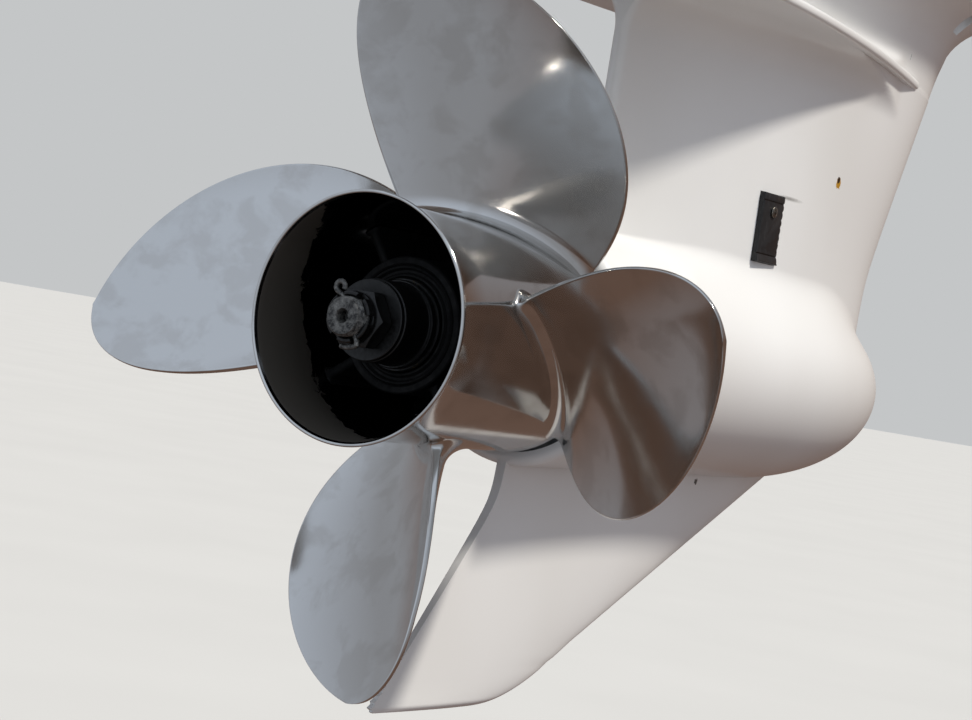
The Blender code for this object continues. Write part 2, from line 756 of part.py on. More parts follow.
def leg_fillets(height):
    """Extra width over the plate and under the flange."""
    over = plate_fillet(fillet_reach(height - plate_top(), PLATE_TOP_FILLET))
    flange = fillet_reach(flange_underside() - height, flange_fillet())

    def extra(station, width):
        share = (flange_nose() - station) / (flange_nose() - FLANGE_TRAILING_STATION)
        edge = section_width(share, FLANGE_HALF_WIDTH, FLANGE_TRAILING_HALF_WIDTH) - FLANGE_THICKNESS / 4.0
        return over(station, width) + min(flange, max(0.0, edge - width))
    return extra


def strut_mesh():
    """The strut from inside the torpedo to the middle of the plate."""
    fillet_top = PLATE_HEIGHT - PLATE_UNDER_FILLET
    heights = [mix(STRUT_BASE_HEIGHT, fillet_top, share) for share in (
        0.0, 0.07, 0.12, 0.16, 0.20, 0.24, 0.29, 0.34, 0.41, 0.50, 0.75)]
    heights += [PLATE_HEIGHT - PLATE_UNDER_FILLET * share for share in (1.0, 0.65, 0.38, 0.18, 0.05, 0.0)]
    heights.append(PLATE_HEIGHT + PLATE_THICKNESS / 2.0)
    rings = []
    for height in heights:
        if height < fillet_top:
            fillet = root_fillet(height)
        else:
            fillet = plate_fillet(fillet_reach(PLATE_HEIGHT - height, PLATE_UNDER_FILLET))
        rings.append(section_ring(height, strut_leading_station(height), STRUT_TRAILING_STATION,
                                  STRUT_HALF_WIDTH, STRUT_TRAILING_HALF_WIDTH, fillet))
    return loft("strut", rings)


def leg_mesh():
    """The leg from the middle of the plate to the middle of the flange."""
    heights = [PLATE_HEIGHT + PLATE_THICKNESS / 2.0]
    heights += [plate_top() + PLATE_TOP_FILLET * share for share in (0.0, 0.10, 0.40, 1.0)]
    heights += [flange_underside() - flange_fillet() * share for share in (0.85, 0.60, 0.40, 0.20, 0.07, 0.0)]
    heights.append(FLANGE_HEIGHT - FLANGE_THICKNESS / 2.0)
    rings = []
    for height in heights:
        level = min(height, flange_underside())
        rings.append(section_ring(height, strut_leading_station(level), LEG_TRAILING_STATION, LEG_HALF_WIDTH,
                                  LEG_TRAILING_HALF_WIDTH, leg_fillets(level)))
    return loft("leg", rings)


def plate_ring(height, inset):
    """The plate's outline: round aft, widest over the propeller, narrow at the front."""
    side = []
    aft_steps = 6
    radius = PLATE_HALF_WIDTH - inset
    for step in range(1, aft_steps + 1):
        angle = 0.5 * math.pi * step / aft_steps
        station = PLATE_AFT_STATION + PLATE_HALF_WIDTH - radius * math.cos(angle)
        side.append((radius * math.sin(angle), station))
    front_steps = 8
    for step in range(front_steps + 1):
        station = mix(PLATE_SHOULDER_STATION, PLATE_FRONT_STATION - inset, step / front_steps)
        side.append((plate_half_width(station) - inset, station))
    right = [(width, station, height) for width, station in side]
    left = [(-width, station, height) for width, station in reversed(side)]
    return [(0.0, PLATE_AFT_STATION + inset, height)] + right + left


def plate_mesh():
    round_off = PLATE_THICKNESS / 4.0
    return loft("plate", [plate_ring(PLATE_HEIGHT, round_off), plate_ring(PLATE_HEIGHT + round_off, 0.0),
                          plate_ring(plate_top() - round_off, 0.0), plate_ring(plate_top(), round_off)])


def flange_mesh():
    rings = [section_ring(height, flange_nose(), FLANGE_TRAILING_STATION, FLANGE_HALF_WIDTH,
                          FLANGE_TRAILING_HALF_WIDTH) for height in (flange_underside(), FLANGE_HEIGHT)]
    return loft("flange", rings)


def skeg_leading_station(height):
    """A straight raked edge that turns in a curve into the level bottom."""
    straight = SKEG_ROOT_STATION + SKEG_SWEEP * (height - SKEG_ROOT_HEIGHT)
    if height >= SKEG_CURVE_HEIGHT:
        return straight
    start = SKEG_ROOT_STATION + SKEG_SWEEP * (SKEG_CURVE_HEIGHT - SKEG_ROOT_HEIGHT)
    drop = (SKEG_CURVE_HEIGHT - height) / (SKEG_CURVE_HEIGHT - SKEG_BOTTOM_HEIGHT)
    return start - (start - SKEG_HEEL_STATION) * (1.0 - math.sqrt(max(0.0, 1.0 - drop))) ** 0.9


def skeg_trailing_station(height):
    """The trailing edge drops straight from the torpedo and then sweeps aft to the toe."""
    swept = SKEG_TOE_STATION + SKEG_TOE_SLOPE * (height - SKEG_BOTTOM_HEIGHT)
    return min(SKEG_TRAILING_STATION, swept)


def skeg_mesh():
    top = -TORPEDO_RADIUS / 2.0
    straight = [mix(SKEG_ROOT_HEIGHT, SKEG_CURVE_HEIGHT, step / 5.0) for step in range(6)]
    curved = [mix(SKEG_CURVE_HEIGHT, SKEG_BOTTOM_HEIGHT, math.sin(0.5 * math.pi * step / 7.0))
              for step in range(1, 8)]
    rings = []
    for height in [top] + straight + curved:
        share = max(0.0, (height - SKEG_ROOT_HEIGHT) / (SKEG_BOTTOM_HEIGHT - SKEG_ROOT_HEIGHT))
        half = mix(SKEG_ROOT_HALF_THICKNESS, SKEG_TIP_HALF_THICKNESS, share)
        trailing = skeg_trailing_station(height)
        if height <= SKEG_BOTTOM_HEIGHT + 0.0001:
            trailing += SKEG_TOE_CHIP
            half *= 0.75
        rings.append(section_ring(height, skeg_leading_station(height), trailing, half, half / 3.0))
    return loft("skeg", rings)


def strut_side(station, height):
    """The strut's half width at a station and height."""
    leading = strut_leading_station(height)
    share = (leading - station) / (leading - STRUT_TRAILING_STATION)
    return section_width(share, STRUT_HALF_WIDTH, STRUT_TRAILING_HALF_WIDTH)


def torpedo_side(station, height):
    """The torpedo's half width at a station and height."""
    return math.sqrt(torpedo_radius(station) ** 2 - height ** 2)


def screen_floor():
    """How far out the pocket's floor lies that an intake screen seats on."""
    return strut_side(SCREEN_STATION, SCREEN_MIDDLE_HEIGHT) + SCREEN_PROUD - SCREEN_THICKNESS


def screen_pocket(side):
    half_width = SCREEN_WIDTH / 2.0 + SEAT_GAP
    half_height = SCREEN_HEIGHT / 2.0 + SEAT_GAP
    floor = side * (screen_floor() - SEAT_GAP)
    outside = side * 2.0 * STRUT_HALF_WIDTH
    return block("screen_pocket",
                 (min(floor, outside), SCREEN_STATION - half_width, SCREEN_MIDDLE_HEIGHT - half_height),
                 (max(floor, outside), SCREEN_STATION + half_width, SCREEN_MIDDLE_HEIGHT + half_height))


def plug_floor(place, side_of):
    return side_of(*place) - PLUG_SPOTFACE


def plug_spotface(place, side_of):
    floor = plug_floor(place, side_of)
    profile = rod_profile(PLUG_RADIUS + 4.0 * SEAT_GAP, -2.0 * TORPEDO_RADIUS, SEAT_GAP - floor)
    return turned("plug_spotface", profile, 20, centre=place, axis="X")


def blind_bore(name, station, across, radius, depth, sides):
    profile = rod_profile(radius, FLANGE_HEIGHT - depth, FLANGE_HEIGHT + depth)
    return turned(name, profile, sides, centre=(across, station), axis="Z")


def pump_floor():
    """The height of the shallow well's floor that the water pump stands on."""
    return FLANGE_HEIGHT - PUMP_WELL_DEPTH


def pump_seat():
    """The pump's well and the drive shaft's bore below it."""
    bore = DRIVE_SHAFT_RADIUS + SEAT_GAP
    well = PUMP_PLATE_RADIUS + PUMP_WELL_CLEARANCE
    profile = ((0.0, FLANGE_HEIGHT - DRIVE_SHAFT_BORE_DEPTH), (bore, FLANGE_HEIGHT - DRIVE_SHAFT_BORE_DEPTH),
               (bore, pump_floor()), (well, pump_floor()),
               (well, FLANGE_HEIGHT + PUMP_WELL_DEPTH), (0.0, FLANGE_HEIGHT + PUMP_WELL_DEPTH))
    return turned("pump_seat", profile, 36, centre=(0.0, PUMP_STATION), axis="Z")


def cavity_profile():
    margin = 0.010
    return rod_profile(CAVITY_RADIUS, torpedo_aft_station() - margin, torpedo_aft_station() + CAVITY_DEPTH)


def stud_places():
    """(station, distance to starboard) of each stud, the front one first."""
    return ((flange_nose() - FRONT_STUD_SETBACK, 0.0),) + SIDE_STUD_PLACES


def dowel_places():
    return ((flange_nose() - FRONT_DOWEL_SETBACK, FRONT_DOWEL_ACROSS), (AFT_DOWEL_STATION, 0.0))


def build_casting(datum):
    casting = add_solid("gearcase_casting", turned("gearcase_casting", torpedo_profile(), TORPEDO_SEGMENTS),
                        "white_enamel", datum)
    for name, mesh in (("strut", strut_mesh()), ("skeg", skeg_mesh()), ("plate", plate_mesh()),
                       ("leg", leg_mesh()), ("flange", flange_mesh())):
        add_boolean(casting, add_cutter(name, mesh, datum), "UNION")
    cuts = [turned("torpedo_cavity", cavity_profile(), TORPEDO_SEGMENTS),
            screen_pocket(1.0), screen_pocket(-1.0),
            plug_spotface(DRAIN_PLUG_PLACE, torpedo_side), plug_spotface(LEVEL_PLUG_PLACE, strut_side),
            pump_seat(),
            blind_bore("shift_bore", SHIFT_ROD_STATION, 0.0, SHIFT_ROD_RADIUS + SEAT_GAP, SHIFT_ROD_BORE_DEPTH, 12),
            block("exhaust_mouth", (-EXHAUST_HALF_WIDTH, EXHAUST_AFT_STATION, FLANGE_HEIGHT - EXHAUST_DEPTH),
                  (EXHAUST_HALF_WIDTH, EXHAUST_FRONT_STATION, FLANGE_HEIGHT + EXHAUST_DEPTH))]
    for station, across in stud_places():
        cuts.append(blind_bore("stud_bore", station, across, STUD_RADIUS + STUD_GAP, STUD_DEPTH, 12))
    for station, across in dowel_places():
        cuts.append(blind_bore("dowel_bore", station, across, DOWEL_RADIUS + STUD_GAP, DOWEL_DEPTH, 12))
    cutter = add_cutter("casting_cuts", join_meshes("casting_cuts", cuts), datum)
    add_boolean(casting, cutter, "DIFFERENCE")


def carrier_aft_station():
    return torpedo_aft_station() + CARRIER_RECESS


def build_carrier(datum):
    """The spoked carrier that closes the torpedo's aft end round the shaft, and its oil seal."""
    floor = torpedo_aft_station() + CAVITY_DEPTH
    outer = CAVITY_RADIUS - SEAT_GAP
    front = floor - SEAT_GAP
    carrier = add_solid("bearing_carrier", turned("bearing_carrier", tube_profile(
        outer, CARRIER_BORE_RADIUS, carrier_aft_station(), front), TORPEDO_SEGMENTS), "cast_aluminium", datum)
    windows = []
    window_outer = outer - CARRIER_RIM
    steps = 6
    for index in range(CARRIER_WINDOWS):
        start = 2.0 * math.pi * index / CARRIER_WINDOWS
        end = start + 2.0 * math.pi / CARRIER_WINDOWS
        ring = []
        for radius, order in ((window_outer, 1), (CARRIER_BOSS_RADIUS, -1)):
            trim = CARRIER_SPOKE / 2.0 / radius
            for step in range(steps + 1)[::order]:
                angle = mix(start + trim, end - trim, step / steps)
                ring.append((radius * math.cos(angle), radius * math.sin(angle)))
        margin = 0.005
        windows.append(loft("window", [[(x, station, z) for x, z in ring]
                                       for station in (carrier_aft_station() - margin, front + margin)]))
    cutter = add_cutter("carrier_windows", join_meshes("carrier_windows", windows), datum)
    add_boolean(carrier, cutter, "DIFFERENCE")
    seal_start = carrier_aft_station() + SEAT_GAP
    add_solid("shaft_seal", turned("shaft_seal", tube_profile(
        CARRIER_BORE_RADIUS - SEAT_GAP, SHAFT_RADIUS + RUNNING_GAP, seal_start, seal_start + SEAL_LENGTH), 24),
        "rubber", datum)


def screen_ring(side, depth):
    """A screen's outline at a depth from its floor, toothed along its forward edge."""
    half_width = SCREEN_WIDTH / 2.0
    half_height = SCREEN_HEIGHT / 2.0
    across = side * (screen_floor() + depth)
    low = SCREEN_MIDDLE_HEIGHT - half_height
    ring = [(across, SCREEN_STATION - half_width, low), (across, SCREEN_STATION - half_width, low + SCREEN_HEIGHT)]
    for tooth in range(SCREEN_TEETH, 0, -1):
        top = low + SCREEN_HEIGHT * tooth / SCREEN_TEETH
        half_tooth = SCREEN_HEIGHT / SCREEN_TEETH / 2.0
        ring.append((across, SCREEN_STATION + half_width, top))
        ring.append((across, SCREEN_STATION + half_width, top - half_tooth))
        notch = SCREEN_STATION + half_width - SCREEN_TOOTH
        ring.append((across, notch, top - half_tooth - SCREEN_TOOTH / 4.0))
        ring.append((across, notch, top - 2.0 * half_tooth + SCREEN_TOOTH / 4.0))
    return ring


def build_screens(datum):
    for side, label in ((1.0, "starboard"), (-1.0, "port")):
        name = "intake_screen_" + label
        mesh = loft(name, [screen_ring(side, 0.0), screen_ring(side, SCREEN_THICKNESS)])
        add_solid(name, mesh, "black_plastic", datum, smooth=False)
        face = screen_floor() + SCREEN_THICKNESS + SEAT_GAP
        height = SCREEN_MIDDLE_HEIGHT + SCREEN_HEIGHT / 2.0 - SCREW_FROM_TOP
        profile = [(0.0, face), (SCREW_HEAD_RADIUS, face), (SCREW_HEAD_RADIUS, face + 0.4 * SCREW_HEAD_HEIGHT),
                   (0.6 * SCREW_HEAD_RADIUS, face + SCREW_HEAD_HEIGHT), (0.0, face + SCREW_HEAD_HEIGHT)]
        profile = [(radius, side * distance) for radius, distance in profile]
        add_solid("screen_screw_" + label, turned("screen_screw_" + label, profile, 16,
                                                  centre=(SCREEN_STATION, height), axis="X"), "stainless", datum)


def build_plugs(datum):
    for name, place, side_of in (("drain_plug", DRAIN_PLUG_PLACE, torpedo_side),
                                 ("level_plug", LEVEL_PLUG_PLACE, strut_side)):
        floor = plug_floor(place, side_of)
        profile = rod_profile(PLUG_RADIUS, -floor - PLUG_HEIGHT, -floor)
        plug = add_solid(name, turned(name, profile, 20, centre=place, axis="X"), "stainless", datum)
        station, height = place
        reach = 0.7 * PLUG_RADIUS
        slot = block(name + "_slot", (-floor - 2.0 * PLUG_HEIGHT, station - reach, height - PLUG_SLOT / 2.0),
                     (-floor - 0.6 * PLUG_HEIGHT, station + reach, height + PLUG_SLOT / 2.0))
        add_boolean(plug, add_cutter(name + "_slot", slot, datum), "DIFFERENCE")


def build_anode(datum):
    top = PLATE_HEIGHT - SEAT_GAP
    bottom = top - ANODE_THICKNESS
    chamfer = ANODE_THICKNESS / 3.0
    half_length = ANODE_LENGTH / 2.0
    half_width = ANODE_WIDTH / 2.0
    rings = []
    for height, inset in ((top, 0.0), (bottom + chamfer, 0.0), (bottom, chamfer)):
        across = half_width - inset
        along = half_length - inset
        cut = across / 3.0
        corners = ((across, along - cut), (across - cut, along), (-across + cut, along), (-across, along - cut),
                   (-across, -along + cut), (-across + cut, -along), (across - cut, -along), (across, -along + cut))
        rings.append([(x, ANODE_STATION + y, height) for x, y in corners])
    add_solid("plate_anode", loft("plate_anode", rings), "zinc", datum, smooth=False)
    bolt_top = bottom - SEAT_GAP
    bolt = turned("anode_bolt", rod_profile(ANODE_BOLT_RADIUS, bolt_top - ANODE_BOLT_HEIGHT, bolt_top), 6,
                  centre=(0.0, ANODE_STATION), axis="Z")
    add_solid("anode_bolt", bolt, "stainless", datum, smooth=False)


def spline_ring(radius, height, depth):
    ring = []
    for step in range(2 * SPLINE_COUNT):
        angle = math.pi * step / SPLINE_COUNT
        reach = radius - depth * (step % 2)
        ring.append((reach * math.cos(angle), PUMP_STATION + reach * math.sin(angle), height))
    return ring


def build_top(datum):
    """What stands on the flange inside the mid-section."""
    bore = DRIVE_SHAFT_RADIUS + SEAT_GAP
    plate_low = pump_floor() + SEAT_GAP
    plate_high = plate_low + PUMP_PLATE_THICKNESS
    centre = (0.0, PUMP_STATION)
    add_solid("pump_base_plate", turned("pump_base_plate", tube_profile(
        PUMP_PLATE_RADIUS, bore, plate_low, plate_high), 36, centre=centre, axis="Z"), "stainless", datum)
    low = plate_high + SEAT_GAP
    top = low + PUMP_HEIGHT
    shoulder = mix(low, top, 0.75)
    profile = ((PUMP_RADIUS, low), (PUMP_RADIUS, shoulder), (PUMP_TOP_RADIUS, top), (bore, top), (bore, low))
    add_solid("water_pump_housing", turned("water_pump_housing", profile, 36, centre=centre, axis="Z"),
              "black_plastic", datum)
    grommet_low = top + SEAT_GAP
    across = (PUMP_TOP_RADIUS + bore) / 2.0
    add_solid("water_tube_grommet", turned("water_tube_grommet", tube_profile(
        GROMMET_RADIUS, GROMMET_BORE_RADIUS, grommet_low, grommet_low + GROMMET_HEIGHT), 20,
        centre=(across, PUMP_STATION), axis="Z"), "rubber", datum)

    shaft_top = FLANGE_HEIGHT + DRIVE_SHAFT_RISE
    rings = [spline_ring(DRIVE_SHAFT_RADIUS, height, depth) for height, depth in (
        (FLANGE_HEIGHT - DRIVE_SHAFT_BORE_DEPTH + SEAT_GAP, 0.0), (shaft_top - SPLINE_LENGTH, 0.0),
        (shaft_top - SPLINE_LENGTH + SPLINE_DEPTH, SPLINE_DEPTH), (shaft_top, SPLINE_DEPTH))]
    add_solid("drive_shaft", loft("drive_shaft", rings), "stainless", datum)
    add_solid("shift_rod", turned("shift_rod", rod_profile(
        SHIFT_ROD_RADIUS, FLANGE_HEIGHT - SHIFT_ROD_BORE_DEPTH + SEAT_GAP, FLANGE_HEIGHT + SHIFT_ROD_RISE), 12,
        centre=(0.0, SHIFT_ROD_STATION), axis="Z"), "stainless", datum)
    for index, (station, across) in enumerate(stud_places()):
        profile = rod_profile(STUD_RADIUS, FLANGE_HEIGHT - STUD_DEPTH + SEAT_GAP, FLANGE_HEIGHT + STUD_RISE)
        name = "flange_stud_%d" % (index + 1)
        add_solid(name, turned(name, profile, 12, centre=(across, station), axis="Z"), "stainless", datum)
    for index, (station, across) in enumerate(dowel_places()):
        profile = rod_profile(DOWEL_RADIUS, FLANGE_HEIGHT - DOWEL_DEPTH + SEAT_GAP, FLANGE_HEIGHT + DOWEL_RISE)
        name = "flange_dowel_%d" % (index + 1)
        add_solid(name, turned(name, profile, 12, centre=(across, station), axis="Z"), "stainless", datum)


def main():
    remove_everything()
    gearcase_datum = add_datum("gearcase_datum")
    propeller_axis = add_datum("propeller_axis")
    build_casting(gearcase_datum)
    build_carrier(gearcase_datum)
    build_screens(gearcase_datum)
    build_plugs(gearcase_datum)
    build_anode(gearcase_datum)
    build_top(gearcase_datum)
    build_propeller(propeller_axis)
    build_hub(propeller_axis)
    build_shaft(propeller_axis)
    build_split_pin(propeller_axis)


main()
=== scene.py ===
"""The looks of an outboard motor's gearcase and its four-bladed propeller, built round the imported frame.

Shapes are laid out from one datum, the centre of the propeller barrel's rear rim on the shaft's axis: x is
to starboard, the station is the distance forward of the rim and the height is the distance above the axis.
"""
import math

import bmesh
import bpy
import numpy as np
from bpy.props import FloatProperty, FloatVectorProperty, IntProperty, PointerProperty
from mathutils import Matrix, Vector
from mathutils.noise import turbulence


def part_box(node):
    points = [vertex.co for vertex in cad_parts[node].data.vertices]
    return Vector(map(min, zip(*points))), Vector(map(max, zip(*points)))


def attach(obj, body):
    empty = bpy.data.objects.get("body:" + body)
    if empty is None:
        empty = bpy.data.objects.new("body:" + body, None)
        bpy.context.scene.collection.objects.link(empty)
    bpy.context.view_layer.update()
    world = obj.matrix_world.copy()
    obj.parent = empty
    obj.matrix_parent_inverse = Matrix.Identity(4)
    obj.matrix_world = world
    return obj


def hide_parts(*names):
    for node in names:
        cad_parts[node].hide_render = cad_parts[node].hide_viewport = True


bl_info = {
    "name": "Gearcase and propeller",
    "version": (1, 0, 0),
    "blender": (4, 5, 0),
    "location": "View3D > Sidebar > Gearcase",
    "description": "Builds the finished surfaces of an outboard gearcase and its propeller",
    "category": "Object",
}

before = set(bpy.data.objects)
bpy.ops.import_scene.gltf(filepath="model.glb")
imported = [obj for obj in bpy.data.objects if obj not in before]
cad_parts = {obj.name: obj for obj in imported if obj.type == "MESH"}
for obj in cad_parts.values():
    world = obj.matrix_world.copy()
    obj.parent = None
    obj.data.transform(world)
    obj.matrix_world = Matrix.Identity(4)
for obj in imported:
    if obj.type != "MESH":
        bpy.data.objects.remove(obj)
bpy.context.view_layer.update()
RIM_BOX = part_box("outer_barrel")
DATUM = np.array([0.0, RIM_BOX[0].y, (RIM_BOX[0].z + RIM_BOX[1].z) / 2.0])

STATIC = "gearcase"
ROTOR = "propeller"
SIDES = (("starboard", 1.0), ("port", -1.0))
SEAT_GAP = 0.0003
SHARP_ANGLE = 35.0
EDGE_ANGLE = 28.0
FACE_AREA_WEIGHT = 80
MERGE_DISTANCE = 1e-6
THREAD_STEPS = 8
CASTING_SHARP_ANGLE = 32.0
PROPELLER_SHARP_ANGLE = 40.0


# Colours and materials

def linear(code):
    """A hex sRGB colour as linear red, green, blue and an alpha of 1."""
    parts = [int(code[place:place + 2], 16) / 255.0 for place in (1, 3, 5)]
    light = [part / 12.92 if part <= 0.04045 else ((part + 0.055) / 1.055) ** 2.4 for part in parts]
    return tuple(light) + (1.0,)


def feed(tree, node, inputs):
    """Gives a node's inputs, by name or in their order, a value or the socket that feeds them."""
    for socket, value in inputs.items() if isinstance(inputs, dict) else enumerate(inputs):
        if isinstance(value, bpy.types.NodeSocket):
            tree.links.new(value, node.inputs[socket])
        else:
            node.inputs[socket].default_value = value


def add_node(tree, kind, inputs=(), **fields):
    """A node with its fields set and its inputs fed."""
    node = tree.nodes.new(kind)
    for field, value in fields.items():
        setattr(node, field, value)
    feed(tree, node, inputs)
    return node


def blank_material(name):
    """(material, its tree, its shader, the Object coordinates)."""
    material = bpy.data.materials.new(name)
    material.use_nodes = True
    tree = material.node_tree
    place = add_node(tree, "ShaderNodeTexCoord").outputs["Object"]
    return material, tree, tree.nodes["Principled BSDF"], place


def clouds(tree, place, size, detail=3.0, rough=0.5, distortion=0.0, stretch=(1.0, 1.0, 1.0)):
    """A noise factor whose blotches are about this size in metres, drawn out along the axes by stretch."""
    mapping = add_node(tree, "ShaderNodeMapping", {
        "Vector": place, "Scale": [1.0 / part for part in stretch]})
    return add_node(tree, "ShaderNodeTexNoise", {
        "Vector": mapping.outputs[0], "Scale": 1.0 / size, "Detail": detail, "Roughness": rough,
        "Distortion": distortion}).outputs["Fac"]


def spot(tree, place, centre, radius, ragged=0.0, length=1.0, core=0.9):
    """1 inside a spot about a point laid out from the datum, 0 outside, with a ragged edge.

    length draws the spot out along the station, and core is the share of the radius that is filled evenly.
    """
    centre = tuple(DATUM + np.array(centre))
    away = add_node(tree, "ShaderNodeVectorMath", (place, centre), operation="SUBTRACT").outputs[0]
    away = add_node(tree, "ShaderNodeMapping", {
        "Vector": away, "Scale": (1.0, 1.0 / length, 1.0)}).outputs[0]
    away = add_node(tree, "ShaderNodeVectorMath", (away,), operation="LENGTH").outputs["Value"]
    reach = ragged * radius
    wobble = add_node(tree, "ShaderNodeMapRange", (
        clouds(tree, place, radius * 0.7, 4.0), 0.0, 1.0, -reach, reach)).outputs[0]
    away = add_node(tree, "ShaderNodeMath", (away, wobble)).outputs[0]
    return add_node(tree, "ShaderNodeMapRange", (away, radius, radius * core)).outputs[0]


PAINT_MARKS = (
    ((0.0356, 0.4350, 0.1286), 0.0036, "#B98A1E"),
    ((0.0356, 0.4345, 0.1306), 0.0021, "#2A1D10"),
    ((0.0090, 0.3630, -0.0660), 0.0022, "#4A4A48"),
)
STREAK_CENTRE = (0.035, 0.3680, 0.1105)
STREAK_RADIUS = 0.0016
STREAK_LENGTH = 16.0


def white_enamel():
    """Two-pack gloss enamel on cast aluminium: a clean shine, faint orange peel and a film of dust."""
    material, tree, shader, place = blank_material("white_gloss_enamel")
    tone = clouds(tree, place, 0.13, 1.0)
    dust = clouds(tree, place, 0.060, 1.0, stretch=(1.0, 1.0, 1.8))
    streak = spot(tree, place, STREAK_CENTRE, STREAK_RADIUS, 0.2, STREAK_LENGTH, 0.0)
    layers = [(add_node(tree, "ShaderNodeMapRange", (tone, 0.30, 0.75)).outputs[0], "#E9E9E7"),
              (add_node(tree, "ShaderNodeMapRange", (dust, 0.35, 0.85, 0.0, 0.10)).outputs[0], "#CFCDC4")]
    layers += [(spot(tree, place, centre, radius, 0.8), tint) for centre, radius, tint in PAINT_MARKS]
    layers.append((add_node(tree, "ShaderNodeMapRange", (streak, 0.0, 1.0, 0.0, 0.90)).outputs[0],
                   "#5E5C55"))
    body = linear("#F1F2F1")
    for share, tint in layers:
        body = add_node(tree, "ShaderNodeMix", {0: share, 6: body, 7: linear(tint)},
                        data_type="RGBA").outputs[2]
    peel = add_node(tree, "ShaderNodeBump", {
        "Height": clouds(tree, place, 0.0030, 0.0), "Distance": 0.00002, "Strength": 0.2})
    feed(tree, shader, {"Base Color": body, "Roughness": 0.30,
                        "Coat Weight": 0.20, "Coat Roughness": 0.12, "Normal": peel.outputs[0]})
    return material


def polished_stainless():
    """Cast stainless, buffed by hand: a mirror with slow waves, cloudy patches and fine wheel swirls.

    Real swirls are finer than a pixel, so they are drawn as coarse as they need to show.
    """
    material, tree, shader, place = blank_material("mirror_polished_stainless")
    cloudy = add_node(tree, "ShaderNodeMapRange", (
        clouds(tree, place, 0.022, 5.0, 0.55, 0.3), 0.48, 0.60)).outputs[0]
    swirl = clouds(tree, place, 0.0022, 2.0, 0.5, 2.5, stretch=(1.0, 6.0, 1.5))
    waves = clouds(tree, place, 0.030, 1.5, 0.35, 0.4)
    haze = add_node(tree, "ShaderNodeMapRange", (cloudy, 0.0, 1.0, 0.08, 0.12)).outputs[0]
    dull = add_node(tree, "ShaderNodeMath", (swirl, 0.05, haze), operation="MULTIPLY_ADD").outputs[0]
    ripple = add_node(tree, "ShaderNodeMath", (swirl, 0.04, waves), operation="MULTIPLY_ADD").outputs[0]
    relief = add_node(tree, "ShaderNodeBump", {"Height": ripple, "Distance": 0.00060, "Strength": 0.14})
    tone = add_node(tree, "ShaderNodeMix", {0: cloudy, 6: linear("#C9C8C6"), 7: linear("#C0BEBB")},
                    data_type="RGBA").outputs[2]
    feed(tree, shader, {"Base Color": tone, "Metallic": 1.0,
                        "Roughness": dull, "Normal": relief.outputs[0]})
    return material


# How far the painted light on the barrel's port inner wall reaches, across and down
LIT_PATCH_SIDEWAYS = -0.62
LIT_PATCH_DOWNWARD = 0.30


def exhaust_paint():
    """Baked black paint inside the barrel, wet with oily soot; a duller brown patch on the port wall towards
    the rim is painted light, with a ragged painted shadow edge.
    """
    material, tree, shader, place = blank_material("black_exhaust_paint")
    apart = add_node(tree, "ShaderNodeSeparateXYZ", (place,)).outputs
    ragged = add_node(tree, "ShaderNodeMapRange", (
        clouds(tree, place, 0.016, 6.0, 0.65, 0.5), 0.0, 1.0, -0.016, 0.016)).outputs[0]
    sideways = add_node(tree, "ShaderNodeMath", (apart["X"], LIT_PATCH_SIDEWAYS, ragged),
                        operation="MULTIPLY_ADD").outputs[0]
    low_down = add_node(tree, "ShaderNodeMath", (float(DATUM[2]), apart["Z"]),
                        operation="SUBTRACT").outputs[0]
    reach = add_node(tree, "ShaderNodeMath", (low_down, LIT_PATCH_DOWNWARD, sideways),
                     operation="MULTIPLY_ADD").outputs[0]
    station = add_node(tree, "ShaderNodeMath", (apart["Y"], float(DATUM[1])),
                       operation="SUBTRACT").outputs[0]
    beyond = add_node(tree, "ShaderNodeMath", (reach, station), operation="SUBTRACT").outputs[0]
    # Painted light: the brown, duller patch on the port wall near the rim stands in for light falling there,
    # its ragged edge a painted shadow edge
    painted_light = add_node(tree, "ShaderNodeMapRange", (beyond, -0.0005, 0.0010)).outputs[0]
    dull = add_node(tree, "ShaderNodeMapRange", (painted_light, 0.0, 1.0, 0.12, 0.60)).outputs[0]
    relief = add_node(tree, "ShaderNodeBump", {
        "Height": clouds(tree, place, 0.006, 4.0), "Distance": 0.00010, "Strength": 0.3})
    tone = add_node(tree, "ShaderNodeMix", {0: painted_light, 6: linear("#020202"), 7: linear("#403B34")},
                    data_type="RGBA").outputs[2]
    feed(tree, shader, {"Base Color": tone, "Roughness": dull,
                        "Coat Weight": 0.4, "Coat Roughness": 0.10, "Normal": relief.outputs[0]})
    return material


def two_tone(name, tones, patches, limits, shine, grain, relief, dulling=None, most=1.0, metallic=0.0,
             stretch=(1.0, 1.0, 1.0), specular=0.5):
    """A material of two sRGB tones in patches, with a fine grain.

    Real grain is finer than a pixel on most of these, so it is drawn as coarse as it needs to show.
    patches, dulling and grain are a pattern's size in metres, its detail and its roughness. limits are where
    a patch starts and where it is full, and most is how full that is. shine is the least and most roughness,
    by the dulling pattern or else by the patches. relief is the grain's real height and strength. metallic
    is a number, or the pair that follows the patches.
    """
    material, tree, shader, place = blank_material(name)
    share = add_node(tree, "ShaderNodeMapRange", (
        clouds(tree, place, *patches, stretch=stretch), *limits, 0.0, most)).outputs[0]
    spread = (clouds(tree, place, *dulling), 0.3, 0.7) if dulling else (share, 0.0, most)
    dull = add_node(tree, "ShaderNodeMapRange", spread + shine).outputs[0]
    bumps = add_node(tree, "ShaderNodeBump", {
        "Height": clouds(tree, place, *grain), "Distance": relief[0], "Strength": relief[1]})
    if isinstance(metallic, tuple):
        metallic = add_node(tree, "ShaderNodeMapRange", (share, 0.0, 1.0) + metallic).outputs[0]
    tone = add_node(tree, "ShaderNodeMix", {0: share, 6: linear(tones[0]), 7: linear(tones[1])},
                    data_type="RGBA").outputs[2]
    feed(tree, shader, {"Base Color": tone, "Roughness": dull, "Metallic": metallic,
                        "Specular IOR Level": specular, "Normal": bumps.outputs[0]})
    return material
